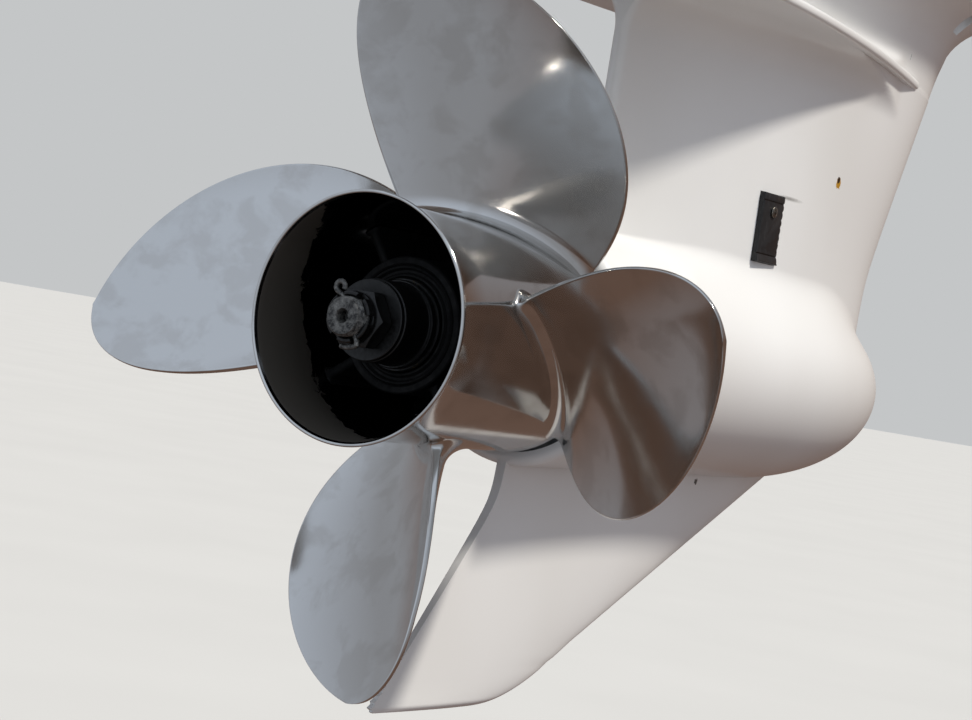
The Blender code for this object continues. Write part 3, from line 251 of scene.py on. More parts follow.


# Metal inside the exhaust: oily soot over most of it, the bare metal through it in spots; the soot's
# darkness is also painted shade for the shaded inside of the barrel
SOOT_AND_SHADE = {
    "patches": (0.0028, 7.0, 0.75), "dulling": (0.0018, 4.0), "shine": (0.30, 0.55),
    "metallic": (0.15, 0.95), "grain": (0.0007, 3.0), "relief": (0.00005, 0.5)}

TWO_TONES = {
    # Turned and rolled stainless fastener stock, dulled by salt and handling
    "plain_stainless": {
        "name": "machined_stainless", "tones": ("#86837C", "#4C4640"), "metallic": 1.0,
        "patches": (0.004, 6.0, 0.7), "limits": (0.45, 0.70), "dulling": (0.0015, 4.0),
        "shine": (0.22, 0.48), "grain": (0.0005, 2.0), "relief": (0.00003, 0.4)},
    # Matt black soot baked on whatever stands deep in the exhaust, darkened also as painted shade for the
    # barrel's shaded inside
    "soot_and_shade_black": {
        "name": "dry_black_soot", "tones": ("#030303", "#100F0E"), "specular": 0.25,
        "patches": (0.009, 6.0, 0.7), "limits": (0.40, 0.65), "dulling": (0.004, 3.0),
        "shine": (0.60, 0.85), "grain": (0.0012, 3.0), "relief": (0.00008, 0.4)},
    # Sand-cast aluminium, bead blasted: an even grey grain with white salt bloom
    "cast_aluminium": {
        "name": "bead_blasted_aluminium", "tones": ("#6F7072", "#A3A39E"), "metallic": 0.9,
        "patches": (0.010, 6.0, 0.7), "limits": (0.50, 0.72), "shine": (0.42, 0.70),
        "grain": (0.0008, 2.0), "relief": (0.00008, 0.5)},
    # Injection-moulded black glass-filled nylon, satin, with pale scuffs
    "black_plastic": {
        "name": "black_glass_filled_nylon", "tones": ("#17181A", "#4B4C4C"), "stretch": (1.0, 1.0, 3.0),
        "patches": (0.003, 6.0, 0.7), "limits": (0.58, 0.74), "most": 0.7, "dulling": (0.005, 3.0),
        "shine": (0.34, 0.55), "grain": (0.0004, 2.0), "relief": (0.00004, 0.4)},
    # Pressed nitrile rubber, matt, greyed by ozone
    "rubber": {
        "name": "black_nitrile_rubber", "tones": ("#141414", "#2C2B29"), "patches": (0.006, 5.0),
        "limits": (0.45, 0.70), "most": 0.6, "shine": (0.62, 0.85), "grain": (0.0007, 2.0),
        "relief": (0.00005, 0.5)},
    # Cast anode zinc, half eaten: dull grey pits under white oxide
    "zinc": {
        "name": "pitted_anode_zinc", "tones": ("#74777A", "#B9BAB6"), "metallic": 0.6,
        "patches": (0.007, 7.0, 0.7), "limits": (0.45, 0.62), "shine": (0.50, 0.85),
        "grain": (0.0025, 5.0, 0.7), "relief": (0.0004, 0.7)},
    # Soot and painted shade: these looks darken the pieces deep in the barrel for the shade there as well as
    # for soot
    "soot_and_shade_steel": {
        "name": "sooted_stainless", "tones": ("#080706", "#1D1B19"), "limits": (0.55, 0.80), **SOOT_AND_SHADE},
    "soot_and_shade_steel_end": {
        "name": "sooted_stainless_rubbed_bare", "tones": ("#080706", "#8F8D88"), "limits": (0.40, 0.72),
        **SOOT_AND_SHADE},
    "sooted_brass": {
        "name": "sooted_brass", "tones": ("#080706", "#6B5326"), "limits": (0.58, 0.80), **SOOT_AND_SHADE},
}
OWN_FINISHES = {
    "white_enamel": white_enamel,
    "polished_stainless": polished_stainless,
    "black_exhaust_paint": exhaust_paint,
}
made_finishes = {}


def finish(slot):
    """The material of a slot or a look, made once."""
    if slot not in made_finishes:
        made_finishes[slot] = OWN_FINISHES[slot]() if slot in OWN_FINISHES else two_tone(**TWO_TONES[slot])
    return made_finishes[slot]


# Shapes

def mix(first, last, share):
    return first + (last - first) * share


def grid(rows, closed=False):
    """(points, faces) of a sheet of rows of points; closed joins each row's ends."""
    rows = np.asarray(rows, float)
    count, across = rows.shape[:2]
    index = np.arange(count * across).reshape(count, across)
    after = np.roll(index, -1, axis=1)
    reach = across if closed else across - 1
    faces = np.stack([index[:-1, :reach], after[:-1, :reach], after[1:, :reach], index[1:, :reach]], axis=-1)
    return rows.reshape(-1, 3), [tuple(face) for face in faces.reshape(-1, 4)]


def capped(rows):
    """A closed loft of rings with a flat face at each end."""
    points, faces = grid(rows, closed=True)
    across = len(rows[0])
    last = len(points) - across
    return points, faces + [tuple(range(across)), tuple(range(last, last + across))]


def ring_round(axis, centre, turns, reach, distance):
    """A ring of points at a distance along an axis through the centre."""
    first = centre[0] + reach * np.cos(turns)
    second = centre[1] + reach * np.sin(turns)
    along = np.full(len(turns), distance)
    order = {"Y": (first, along, second), "Z": (first, second, along), "X": (along, first, second)}[axis]
    return np.stack(order, axis=-1)


def turned(profile, segments, centre=(0.0, 0.0), axis="Y"):
    """A closed (radius, distance) profile spun round an axis through the centre."""
    turns = 2.0 * math.pi * np.arange(segments) / segments
    rings = [ring_round(axis, centre, turns, *corner) for corner in list(profile) + [profile[0]]]
    return grid(rings, closed=True)


def block(low, high):
    corners = [(x, y, z) for x in (low[0], high[0]) for y in (low[1], high[1]) for z in (low[2], high[2])]
    faces = [(0, 1, 3, 2), (4, 5, 7, 6), (0, 1, 5, 4), (2, 3, 7, 6), (0, 2, 6, 4), (1, 3, 7, 5)]
    return np.array(corners, float), faces


def joined(shapes):
    """Several shapes as one list of points and faces."""
    points = []
    faces = []
    start = 0
    for some_points, some_faces in shapes:
        points.append(np.asarray(some_points, float))
        faces += [tuple(index + start for index in face) for face in some_faces]
        start += len(some_points)
    return np.concatenate(points), faces


def spun(shape, angle):
    """A shape turned about the propeller shaft's axis, from starboard towards up."""
    points, faces = shape
    turn = np.array([[math.cos(angle), 0.0, math.sin(angle)], [0.0, 1.0, 0.0],
                     [-math.sin(angle), 0.0, math.cos(angle)]])
    return np.asarray(points) @ turn, faces


def mesh_of(name, shape):
    """A mesh from a shape laid out from the datum, its doubles merged and its faces turned outwards."""
    points, faces = shape
    points = np.asarray(points, float) + DATUM
    mesh = bpy.data.meshes.new(name)
    mesh.from_pydata(points.tolist(), [], faces)
    surface = bmesh.new()
    surface.from_mesh(mesh)
    bmesh.ops.remove_doubles(surface, verts=surface.verts, dist=MERGE_DISTANCE)
    bmesh.ops.dissolve_degenerate(surface, edges=surface.edges, dist=MERGE_DISTANCE)
    bmesh.ops.recalc_face_normals(surface, faces=surface.faces)
    surface.to_mesh(mesh)
    surface.free()
    return mesh


def add_object(name, mesh):
    piece = bpy.data.objects.new(name, mesh)
    bpy.context.scene.collection.objects.link(piece)
    return piece


def combined(piece, shapes, operation):
    """Unites closed shapes with the piece, or cuts them out of it, and leaves a plain mesh."""
    helpers = []
    for number, shape in enumerate(shapes):
        helper = add_object("helper_%d" % number, mesh_of("helper", shape))
        modifier = piece.modifiers.new("combine_%d" % number, "BOOLEAN")
        modifier.operation = operation
        modifier.solver = "MANIFOLD"
        modifier.object = helper
        helpers.append(helper)
    baked(piece)
    for helper in helpers:
        remove(helper)


def baked(piece):
    """Turns what the modifiers make into the object's own plain mesh."""
    bpy.context.view_layer.update()
    graph = bpy.context.evaluated_depsgraph_get()
    result = bpy.data.meshes.new_from_object(piece.evaluated_get(graph))
    piece.modifiers.clear()
    piece.data = result


def remove(thing):
    mesh = thing.data
    bpy.data.objects.remove(thing)
    bpy.data.meshes.remove(mesh)


def finished(piece, slot, body, stands_for=(), sharp=SHARP_ANGLE, look=None, keep_flats=False):
    """Shades, paints and mounts a finished piece; look names its finish where that isn't the slot's own.

    keep_flats leaves the shading to the larger faces, so that a fillet runs into a flat face without a band.
    """
    piece.data.materials.clear()
    piece.data.materials.append(finish(look or slot))
    piece.data.shade_smooth()
    piece.data.set_sharp_from_angle(angle=math.radians(sharp))
    if keep_flats:
        modifier = piece.modifiers.new("flats", "WEIGHTED_NORMAL")
        modifier.weight = FACE_AREA_WEIGHT
        modifier.keep_sharp = True
        baked(piece)
    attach(piece, body)
    if stands_for:
        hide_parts(*stands_for)
    return piece


def piece_of(name, shape, slot, body, stands_for=(), sharp=SHARP_ANGLE, look=None):
    """A finished piece straight from its shape."""
    return finished(add_object(name, mesh_of(name, shape)), slot, body, stands_for, sharp, look)


def edge_broken(piece, width, steps=2):
    """Rounds a piece's sharp edges."""
    modifier = piece.modifiers.new("edges", "BEVEL")
    modifier.width = width
    modifier.segments = steps
    modifier.limit_method = "ANGLE"
    modifier.angle_limit = math.radians(EDGE_ANGLE)
    baked(piece)


def threaded(radius, depth, pitch, start, end, plain_end, axis, segments):
    """A rod with a screw thread from its chamfered start to its end, and plain from there on."""
    chamfer = 1.2 * depth
    count = abs(int(round((end - start) / pitch * THREAD_STEPS)))
    turns = 2.0 * math.pi * np.arange(segments) / segments
    levels = [(0.0, start)]
    for step in range(count + 1):
        distance = start + (end - start) * step / count
        wave = 2.0 * np.abs(((distance / pitch - turns / (2.0 * math.pi)) % 1.0) - 0.5)
        fade = min(1.0, abs(end - distance) / pitch)
        reach = radius - depth * wave * fade
        levels.append((np.minimum(reach, radius - chamfer + abs(distance - start)), distance))
    levels += [(radius, plain_end), (0.0, plain_end)]
    return grid([ring_round(axis, (0.0, 0.0), turns, *level) for level in levels], closed=True)


def swept(path, radius, sides=20):
    """A round rod along a path of points."""
    points = [Vector(point) for point in path]
    rings = []
    side = None
    for index, point in enumerate(points):
        along = (points[min(index + 1, len(points) - 1)] - points[max(index - 1, 0)]).normalized()
        if side is None:
            side = along.orthogonal().normalized()
        side = (side - along * side.dot(along)).normalized()
        across = along.cross(side)
        turns = [2.0 * math.pi * step / sides for step in range(sides)]
        rings.append([point + radius * (side * math.cos(turn) + across * math.sin(turn)) for turn in turns])
    return capped(np.array(rings))


def start_tree(name, inputs):
    """A Geometry Nodes tree with named inputs: (tree, its input node, {input name: identifier})."""
    tree = bpy.data.node_groups.new(name, "GeometryNodeTree")
    tree.interface.new_socket("Geometry", in_out="OUTPUT", socket_type="NodeSocketGeometry")
    tree.interface.new_socket("Geometry", in_out="INPUT", socket_type="NodeSocketGeometry")
    identifiers = {}
    for label, kind in inputs:
        identifiers[label] = tree.interface.new_socket(label, in_out="INPUT", socket_type=kind).identifier
    return tree, add_node(tree, "NodeGroupInput"), identifiers


def end_tree(tree, given, points, rotation=None):
    """Puts the piece on the points, turns the instances into real mesh and gives them their material."""
    source = add_node(tree, "GeometryNodeObjectInfo", {"Object": given.outputs["Piece"]})
    inputs = {"Points": points, "Instance": source.outputs["Geometry"]}
    if rotation:
        inputs["Rotation"] = rotation
    copies = add_node(tree, "GeometryNodeInstanceOnPoints", inputs)
    real = add_node(tree, "GeometryNodeRealizeInstances", {"Geometry": copies.outputs[0]})
    painted = add_node(tree, "GeometryNodeSetMaterial", {
        "Geometry": real.outputs[0], "Material": given.outputs["Finish"]})
    add_node(tree, "NodeGroupOutput", {"Geometry": painted.outputs[0]})


def ring_tree():
    """Copies of a piece in a level ring, each turned to face away from the middle."""
    tree, given, identifiers = start_tree("ring_of_pieces", (
        ("Piece", "NodeSocketObject"), ("Count", "NodeSocketInt"), ("Radius", "NodeSocketFloat"),
        ("Centre", "NodeSocketVector"), ("Finish", "NodeSocketMaterial")))
    circle = add_node(tree, "GeometryNodeMeshCircle", {
        "Vertices": given.outputs["Count"], "Radius": given.outputs["Radius"]})
    placed = add_node(tree, "GeometryNodeTransform", {
        "Geometry": circle.outputs[0], "Translation": given.outputs["Centre"]})
    spot_on_ring = add_node(tree, "GeometryNodeInputPosition").outputs[0]
    outward = add_node(tree, "ShaderNodeVectorMath", (spot_on_ring, given.outputs["Centre"]),
                       operation="SUBTRACT").outputs[0]
    turn = add_node(tree, "FunctionNodeAlignRotationToVector", {"Vector": outward}, axis="X", pivot_axis="Z")
    end_tree(tree, given, placed.outputs[0], turn.outputs[0])
    return tree, identifiers


def places_tree():
    """A copy of a piece on every point of the object's own mesh."""
    tree, given, identifiers = start_tree("piece_at_places", (
        ("Piece", "NodeSocketObject"), ("Finish", "NodeSocketMaterial")))
    end_tree(tree, given, given.outputs["Geometry"])
    return tree, identifiers


def repeated(name, tree_and_inputs, shape, slot, places=(), **values):
    """An object made of copies of a shape that is laid out round its own zero; places are from the datum."""
    tree, identifiers = tree_and_inputs
    mesh = bpy.data.meshes.new(name)
    mesh.from_pydata([tuple(DATUM + np.array(place)) for place in places], [], [])
    piece = add_object(name, mesh)
    source_mesh = mesh_of("source", shape)
    source_mesh.transform(Matrix.Translation(-Vector(DATUM)))
    source = add_object("source", source_mesh)
    modifier = piece.modifiers.new("copies", "NODES")
    modifier.node_group = tree
    values.update({"Piece": source, "Finish": finish(slot)})
    for label, value in values.items():
        modifier[identifiers[label]] = value
    baked(piece)
    remove(source)
    return piece


def bevelled_tube(outer, inner, start, end, edge):
    """A tube's profile with its four edges broken."""
    return ((outer - edge, start), (outer, start + edge), (outer, end - edge), (outer - edge, end),
            (inner + edge, end), (inner, end - edge), (inner, start + edge), (inner + edge, start))


def plain_rod(radius, start, end):
    return ((0.0, start), (radius, start), (radius, end), (0.0, end))


def bevelled_rod(radius, start, end, edge):
    return ((0.0, start), (radius - edge, start), (radius, start + edge), (radius, end - edge),
            (radius - edge, end), (0.0, end))


# Sizes that a user would change

class GearcaseSizes(bpy.types.PropertyGroup):
    """Driving sizes of the casting."""
    torpedo_radius: FloatProperty(name="Torpedo radius", description="Radius where the nose starts",
                                  default=0.0620, unit="LENGTH")
    torpedo_aft_radius: FloatProperty(name="Torpedo aft radius", description="Radius at the propeller's end",
                                      default=0.0650, unit="LENGTH")
    torpedo_aft: FloatProperty(name="Torpedo aft station", description="Where the torpedo starts",
                               default=0.1520, unit="LENGTH")
    nose_station: FloatProperty(name="Nose station", description="Where the nose starts",
                                default=0.400, unit="LENGTH")
    nose_length: FloatProperty(name="Nose length", description="Length of the elliptical nose",
                               default=0.175, unit="LENGTH")
    strut_half_width: FloatProperty(name="Strut half width", description="Half the strut's greatest width",
                                    default=0.0360, unit="LENGTH")
    root_blend: FloatProperty(name="Root blend", description="How far the strut melts into the torpedo",
                              default=0.045, unit="LENGTH")
    plate_height: FloatProperty(name="Plate height", description="Underside of the anti-ventilation plate",
                                default=0.205, unit="LENGTH")
    plate_half_width: FloatProperty(name="Plate half width", description="Half the plate's greatest width",
                                    default=0.082, unit="LENGTH")
    flange_height: FloatProperty(name="Flange height", description="Top of the mounting flange",
                                 default=float(-DATUM[2]), unit="LENGTH")
    skeg_bottom: FloatProperty(name="Skeg bottom", description="Lowest height of the skeg",
                               default=-0.195, unit="LENGTH")


class PropellerSizes(bpy.types.PropertyGroup):
    """Driving sizes of the propeller."""
    blades: IntProperty(name="Blades", description="How many blades", default=4, min=2, max=6)
    barrel_radius: FloatProperty(name="Barrel radius", description="Outside of the exhaust barrel",
                                 default=0.0580, unit="LENGTH")
    barrel_length: FloatProperty(name="Barrel length", description="From rim to front",
                                 default=0.1425, unit="LENGTH")
    tip_radius: FloatProperty(name="Tip radius", description="From the shaft's axis to a blade's tip",
                              default=0.1854, unit="LENGTH")
    root_pitch: FloatProperty(name="Root pitch", description="Advance in one turn at the root",
                              default=0.427, unit="LENGTH")
    tip_pitch: FloatProperty(name="Tip pitch", description="Advance in one turn at the tip",
                             default=0.390, unit="LENGTH")
    fillet: FloatProperty(name="Root fillet", description="Radius of the fillet on a blade's faces",
                          default=0.010, unit="LENGTH")


class StudioSettings(bpy.types.PropertyGroup):
    """The floor, the lamp, the light all round and the colours of the studio."""
    floor_drop: FloatProperty(name="Floor drop", description="From the skeg down to the floor",
                              default=0.45, unit="LENGTH")
    floor_colour: FloatVectorProperty(name="Floor colour", description="Linear colour of the floor",
                                      default=linear("#C9C8C4")[:3], subtype="COLOR", size=3)
    backdrop_colour: FloatVectorProperty(name="Backdrop colour", description="Colour behind the floor",
                                         default=linear("#C4C6C7")[:3], subtype="COLOR", size=3)
    key_strength: FloatProperty(name="Key strength", description="Strength of the main lamp", default=3.15)
    key_softness: FloatProperty(name="Key softness", description="How wide the main lamp looks",
                                default=math.radians(6.0), subtype="ANGLE")
    surround_strength: FloatProperty(name="Surround strength", description="Strength of the light all round",
                                     default=1.12)


# Casting

TORPEDO_CHAMFER = 0.0055
STRUT_BASE_HEIGHT = 0.010
STRUT_TRAILING_STATION = 0.202
STRUT_TRAILING_HALF_WIDTH = 0.0040
STRUT_LEADING_STATION = 0.616
STRUT_RAKE = 0.462
STRUT_WIDEST = 0.45
NOSE_JUNCTION_STATION = 0.556
NOSE_JUNCTION_BLEND = 0.004
LEG_HALF_WIDTH = 0.0400
LEG_SPREAD_HEIGHT = 0.040
LEG_TRAILING_STATION = 0.178
LEG_TRAILING_HALF_WIDTH = 0.0180
PLATE_THICKNESS = 0.006
PLATE_FRONT_STATION = 0.545
PLATE_FRONT_HALF_WIDTH = 0.030
PLATE_AFT_STATION = -0.060
PLATE_SHOULDER_STATION = 0.200
PLATE_UNDER_FILLET = 0.026
PLATE_TOP_FILLET = 0.014
FLANGE_THICKNESS = 0.012
FLANGE_LIP = 0.0064
FLANGE_TRAILING_STATION = 0.150
FLANGE_HALF_WIDTH = 0.070
FLANGE_TRAILING_HALF_WIDTH = 0.030
FLANGE_FILLET = 0.040
SKEG_ROOT_STATION = 0.470
SKEG_ROOT_HEIGHT = -0.060
SKEG_SWEEP = 2.09
SKEG_CURVE_HEIGHT = -0.160
SKEG_HEEL_STATION = 0.158
SKEG_TRAILING_STATION = 0.152
SKEG_TOE_STATION = 0.062
SKEG_TOE_SLOPE = 0.80
SKEG_ROOT_HALF_THICKNESS = 0.0085
SKEG_TIP_HALF_THICKNESS = 0.0042
CAVITY_RADIUS = 0.0575
CAVITY_DEPTH = 0.048
ROOT_RUN = 0.35
TAPER_TOP = 0.120
FILLET_TOP = 0.085
NOSE_SEARCH = 0.45
STRUT_AHEAD = 0.75
TORPEDO_AHEAD = 0.70
TAIL_INSIDE = 0.26
TAIL_OUTSIDE = 0.14
CROWN_OUTSIDE = 0.16
CHINE_EDGE = 1e-9
PLATE_EDGE_ROUND = 0.42
FLANGE_EDGE = 0.0010
SKEG_TOP = -0.031
SKEG_EDGE = 0.0035
SKEG_EDGE_PINCH = 0.45
SKEG_TAIL_ROUND = 0.005
DENT_HEIGHT = -0.174
DENT_DEPTH = 0.0016
DENT_REACH = 0.0022
TOE_NICK_REACH = 0.030
TOE_BLEND = 0.004


def gearcase_sizes():
    return bpy.context.scene.gearcase_sizes


def hull_square(station):
    """The square of the torpedo's radius, negative ahead of the nose."""
    sizes = gearcase_sizes()
    ahead = (station - sizes.nose_station) / sizes.nose_length
    nose = sizes.torpedo_radius ** 2 * (1.0 - ahead ** 2)
    back = sizes.torpedo_aft + TORPEDO_CHAMFER
    share = (station - back) / (sizes.nose_station - back)
    straight = mix(sizes.torpedo_aft_radius, sizes.torpedo_radius, share)
    corner = np.clip((back - station) / TORPEDO_CHAMFER, 0.0, 1.0)
    rounded = sizes.torpedo_aft_radius - TORPEDO_CHAMFER * (1.0 - np.sqrt(1.0 - corner ** 2))
    radius = np.where(station < back, rounded, straight)
    return np.where(station > sizes.nose_station, nose, radius ** 2)


def fillet_reach(height, radius):
    """How far a round fillet of this radius reaches out at a height above its base."""
    rise = radius - np.clip(height, 0.0, radius)
    return radius - np.sqrt(np.maximum(radius ** 2 - rise ** 2, 0.0))


def flange_underside():
    return gearcase_sizes().flange_height - FLANGE_THICKNESS


def plate_top():
    return gearcase_sizes().plate_height + PLATE_THICKNESS


def leading_station(height):
    """The strut's leading edge: raked, upright over the nose, and forward under the flange."""
    raked = STRUT_LEADING_STATION + STRUT_RAKE * (height - gearcase_sizes().plate_height)
    lead = (raked - NOSE_JUNCTION_STATION) / 2.0
    station = NOSE_JUNCTION_STATION + lead + np.hypot(lead, NOSE_JUNCTION_BLEND)
    return station + fillet_reach(flange_underside() - height, FLANGE_FILLET)


def section_width(share, half_width, trailing_half_width):
    """Half the width of a strut section at a share of its chord from the leading edge."""
    ahead = np.clip(1.0 - share / STRUT_WIDEST, 0.0, 1.0)
    behind = np.clip((share - STRUT_WIDEST) / (1.0 - STRUT_WIDEST), 0.0, 1.0)
    front = half_width * np.sqrt(1.0 - ahead ** 2)
    return np.where(share < STRUT_WIDEST, front, mix(half_width, trailing_half_width, behind ** 1.8))


def strut_share(station, height):
    lead = leading_station(height)
    return (lead - station) / (lead - STRUT_TRAILING_STATION)


def strut_square(station, height):
    """The square of the strut's half width, negative ahead of and behind it."""
    share = strut_share(station, height)
    half = gearcase_sizes().strut_half_width
    ahead = 1.0 - share / STRUT_WIDEST
    width = section_width(share, half, STRUT_TRAILING_HALF_WIDTH)
    behind = np.maximum(0.0, (STRUT_TRAILING_STATION + STRUT_TRAILING_HALF_WIDTH - station)
                        / STRUT_TRAILING_HALF_WIDTH)
    tail = width ** 2 * (1.0 - behind ** 2)
    return np.where(share < STRUT_WIDEST, half ** 2 * (1.0 - ahead ** 2), tail)


def body_square(station, height):
    """The square of the half width of torpedo and strut together, melted into each other along the root."""
    share = strut_share(station, height)
    hull = hull_square(station) - height ** 2
    strut = np.where(height < STRUT_BASE_HEIGHT, -1.0, strut_square(station, height))
    ramp = np.clip(share / ROOT_RUN, 0.0, 1.0)
    fade = np.clip((1.0 - share) / ROOT_RUN, 0.0, 1.0)
    at_front = 0.10 + 0.90 * ramp * ramp * (3.0 - 2.0 * ramp)
    at_back = 0.30 + 0.70 * fade * fade * (3.0 - 2.0 * fade)
    strength = at_front * at_back
    reach = gearcase_sizes().root_blend ** 2 * strength
    overlap = np.maximum(reach - np.abs(hull - strut), 0.0)
    return np.maximum(hull, strut) + overlap ** 2 / (4.0 * reach)


def level_of(station, rise):
    """The height of a level line: it follows the torpedo's taper low down and is flat higher up."""
    sizes = gearcase_sizes()
    radius = np.sqrt(np.maximum(hull_square(np.minimum(station, sizes.nose_station)), 0.0))
    taper = radius / sizes.torpedo_aft_radius
    fade = np.clip((TAPER_TOP - rise) / (TAPER_TOP - sizes.torpedo_aft_radius), 0.0, 1.0)
    return rise * (1.0 - (1.0 - taper) * fade)


def crossing(rise, inside, outside, floor=0.0):
    """The station between inside and outside where the body's width comes to nothing on a level line."""
    for _ in range(50):
        middle = (inside + outside) / 2.0
        solid = body_square(middle, level_of(middle, rise)) > floor
        inside = np.where(solid, middle, inside)
        outside = np.where(solid, outside, middle)
    return inside


def plate_half_width(station):
    share = (station - PLATE_SHOULDER_STATION) / (PLATE_FRONT_STATION - PLATE_SHOULDER_STATION)
    width = mix(gearcase_sizes().plate_half_width, PLATE_FRONT_HALF_WIDTH, np.clip(share, 0.0, 1.0) ** 1.7)
    return np.where(share > 1.0, 0.0, width)


def plate_fillet(station, width, reach):
    """Extra width beside the plate, as far as the plate carries it."""
    return np.minimum(reach, np.maximum(0.0, plate_half_width(station) - width - PLATE_THICKNESS))


def torpedo_and_strut():
    """One closed surface, as level lines from the keel to the middle of the plate."""
    sizes = gearcase_sizes()
    plate = sizes.plate_height
    crown = sizes.torpedo_aft_radius
    turns = 72
    columns = 96
    low_rises = crown * np.sin(math.pi * (np.arange(turns + 1) / turns - 0.5))
    fillet_rises = np.linspace(crown, FILLET_TOP, 24)[1:]
    high_rises = np.concatenate([fillet_rises, np.linspace(FILLET_TOP, plate - PLATE_UNDER_FILLET, 26)[1:]])
    steps = 18
    turn = 0.5 * math.pi * np.arange(1, steps + 1) / steps
    plate_rises = plate - PLATE_UNDER_FILLET * (1.0 - np.sin(turn))
    high_rises = np.concatenate([high_rises, plate_rises, [plate + PLATE_THICKNESS / 2.0]])

    split = float(crossing(np.array([crown]), np.array([TAIL_INSIDE]), np.array([CROWN_OUTSIDE]),
                           CHINE_EDGE)[0])
    spread = (1.0 - np.cos(math.pi * np.arange(columns + 1) / columns)) / 2.0
    aft = sizes.torpedo_aft
    corner = aft + TORPEDO_CHAMFER * (1.0 - np.cos(0.5 * math.pi * np.arange(6) / 5))
    aft_stations = np.concatenate([corner, np.linspace(aft + TORPEDO_CHAMFER, split, 5)[1:-1]])

    low_rows = []
    for rise in low_rises:
        level = np.array([rise])
        inside = sizes.nose_station if abs(rise) < crown else NOSE_SEARCH
        lead = crossing(level, np.array([inside]), np.array([TORPEDO_AHEAD]))
        if rise <= -crown * 0.9999:
            lead = np.array([sizes.nose_station])
        stations = np.concatenate([aft_stations, mix(split, float(lead[0]), spread)])
        heights = level_of(stations, rise)
        widths = np.sqrt(np.maximum(body_square(stations, heights), 0.0))
        widths[-1] = 0.0
        low_rows.append(np.stack([widths, stations, heights], axis=-1))
    low_rows[-1][:len(aft_stations) + 1, 0] = 0.0
    high_rows = [low_rows[-1][len(aft_stations):]]
    for rise in high_rises:
        level = np.array([min(rise, plate)])
        lead = float(crossing(level, np.array([NOSE_SEARCH]), np.array([STRUT_AHEAD]))[0])
        tail = float(crossing(level, np.array([TAIL_INSIDE]), np.array([TAIL_OUTSIDE]))[0])
        stations = mix(tail, lead, spread)
        heights = level_of(stations, level[0])
        widths = np.sqrt(np.maximum(body_square(stations, heights), 0.0))
        widths += plate_fillet(stations, widths, fillet_reach(plate - heights, PLATE_UNDER_FILLET)) * (
            level[0] > plate - PLATE_UNDER_FILLET)
        widths[0] = widths[-1] = 0.0
        heights = heights + (rise - level[0])
        high_rows.append(np.stack([widths, stations, heights], axis=-1))

    halves = []
    for side in (1.0, -1.0):
        halves += [grid(np.array(rows) * (side, 1.0, 1.0)) for rows in (low_rows, high_rows)]
    aft_ring = [row[0] for row in low_rows]
    aft_ring += [point * (-1.0, 1.0, 1.0) for point in aft_ring[-2:0:-1]]
    top_ring = list(high_rows[-1]) + [point * (-1.0, 1.0, 1.0) for point in high_rows[-1][-2:0:-1]]
    for ring in (aft_ring, top_ring):
        halves.append((np.array(ring), [tuple(range(len(ring)))]))
    return joined(halves)


def section_shares(nose_steps, tail_steps):
    nose = STRUT_WIDEST * (1.0 - np.cos(0.5 * math.pi * np.arange(1, nose_steps + 1) / nose_steps))
    return np.concatenate([nose, mix(STRUT_WIDEST, 1.0, np.arange(1, tail_steps + 1) / tail_steps)])


def section_ring(height, leading, trailing, half_width, trailing_half_width, extra=None):
    """A closed level ring of a strut-like section."""
    shares = section_shares(44, 30)
    stations = mix(leading, trailing, shares)
    widths = section_width(shares, half_width, trailing_half_width)
    if extra:
        widths = widths + extra(stations, widths)
    side = np.stack([widths, stations, np.full(len(shares), height)], axis=-1)
    return np.concatenate([[(0.0, leading, height)], side, side[::-1] * (-1.0, 1.0, 1.0)])


def flange_nose():
    return float(leading_station(flange_underside())) + FLANGE_LIP


def leg():
    """From the middle of the plate to the middle of the flange."""
    plate = plate_top()
    under = flange_underside()
    steps = 12
    share = 1.0 - np.cos(0.5 * math.pi * np.arange(steps + 1) / steps)
    heights = np.concatenate([[plate - PLATE_THICKNESS / 2.0], plate + PLATE_TOP_FILLET * share,
                              under - FLANGE_FILLET * (share * 0.84)[::-1],
                              [under + FLANGE_THICKNESS / 2.0]])
    rings = []
    for height in heights:
        level = min(height, under)

        def extra(stations, widths):
            over = plate_fillet(stations, widths, fillet_reach(level - plate, PLATE_TOP_FILLET))
            nose = flange_nose()
            place = (nose - stations) / (nose - FLANGE_TRAILING_STATION)
            flange_half = section_width(place, FLANGE_HALF_WIDTH, FLANGE_TRAILING_HALF_WIDTH)
            room = np.maximum(0.0, flange_half - FLANGE_THICKNESS / 4.0 - widths)
            return over + np.minimum(fillet_reach(under - level, FLANGE_FILLET), room)

        rise = min(1.0, max(0.0, (level - plate) / LEG_SPREAD_HEIGHT))
        half = mix(gearcase_sizes().strut_half_width, LEG_HALF_WIDTH, rise * rise * (3.0 - 2.0 * rise))
        rings.append(section_ring(height, float(leading_station(level)), LEG_TRAILING_STATION, half,
                                  LEG_TRAILING_HALF_WIDTH, extra))
    return capped(rings)


def plate_ring(height, inset):
    """The plate's outline: round aft, widest over the propeller, narrow at the front."""
    half = gearcase_sizes().plate_half_width
    angles = 0.5 * math.pi * np.arange(1, 31) / 30
    round_end = np.stack([(half - inset) * np.sin(angles),
                          PLATE_AFT_STATION + half - (half - inset) * np.cos(angles)], axis=-1)
    stations = mix(PLATE_SHOULDER_STATION, PLATE_FRONT_STATION - inset, np.arange(41) / 40)
    front = np.stack([plate_half_width(stations) - inset, stations], axis=-1)
    side = np.concatenate([round_end, front])
    side = np.concatenate([side, np.full((len(side), 1), height)], axis=1)
    return np.concatenate([[(0.0, PLATE_AFT_STATION + inset, height)], side, side[::-1] * (-1.0, 1.0, 1.0)])


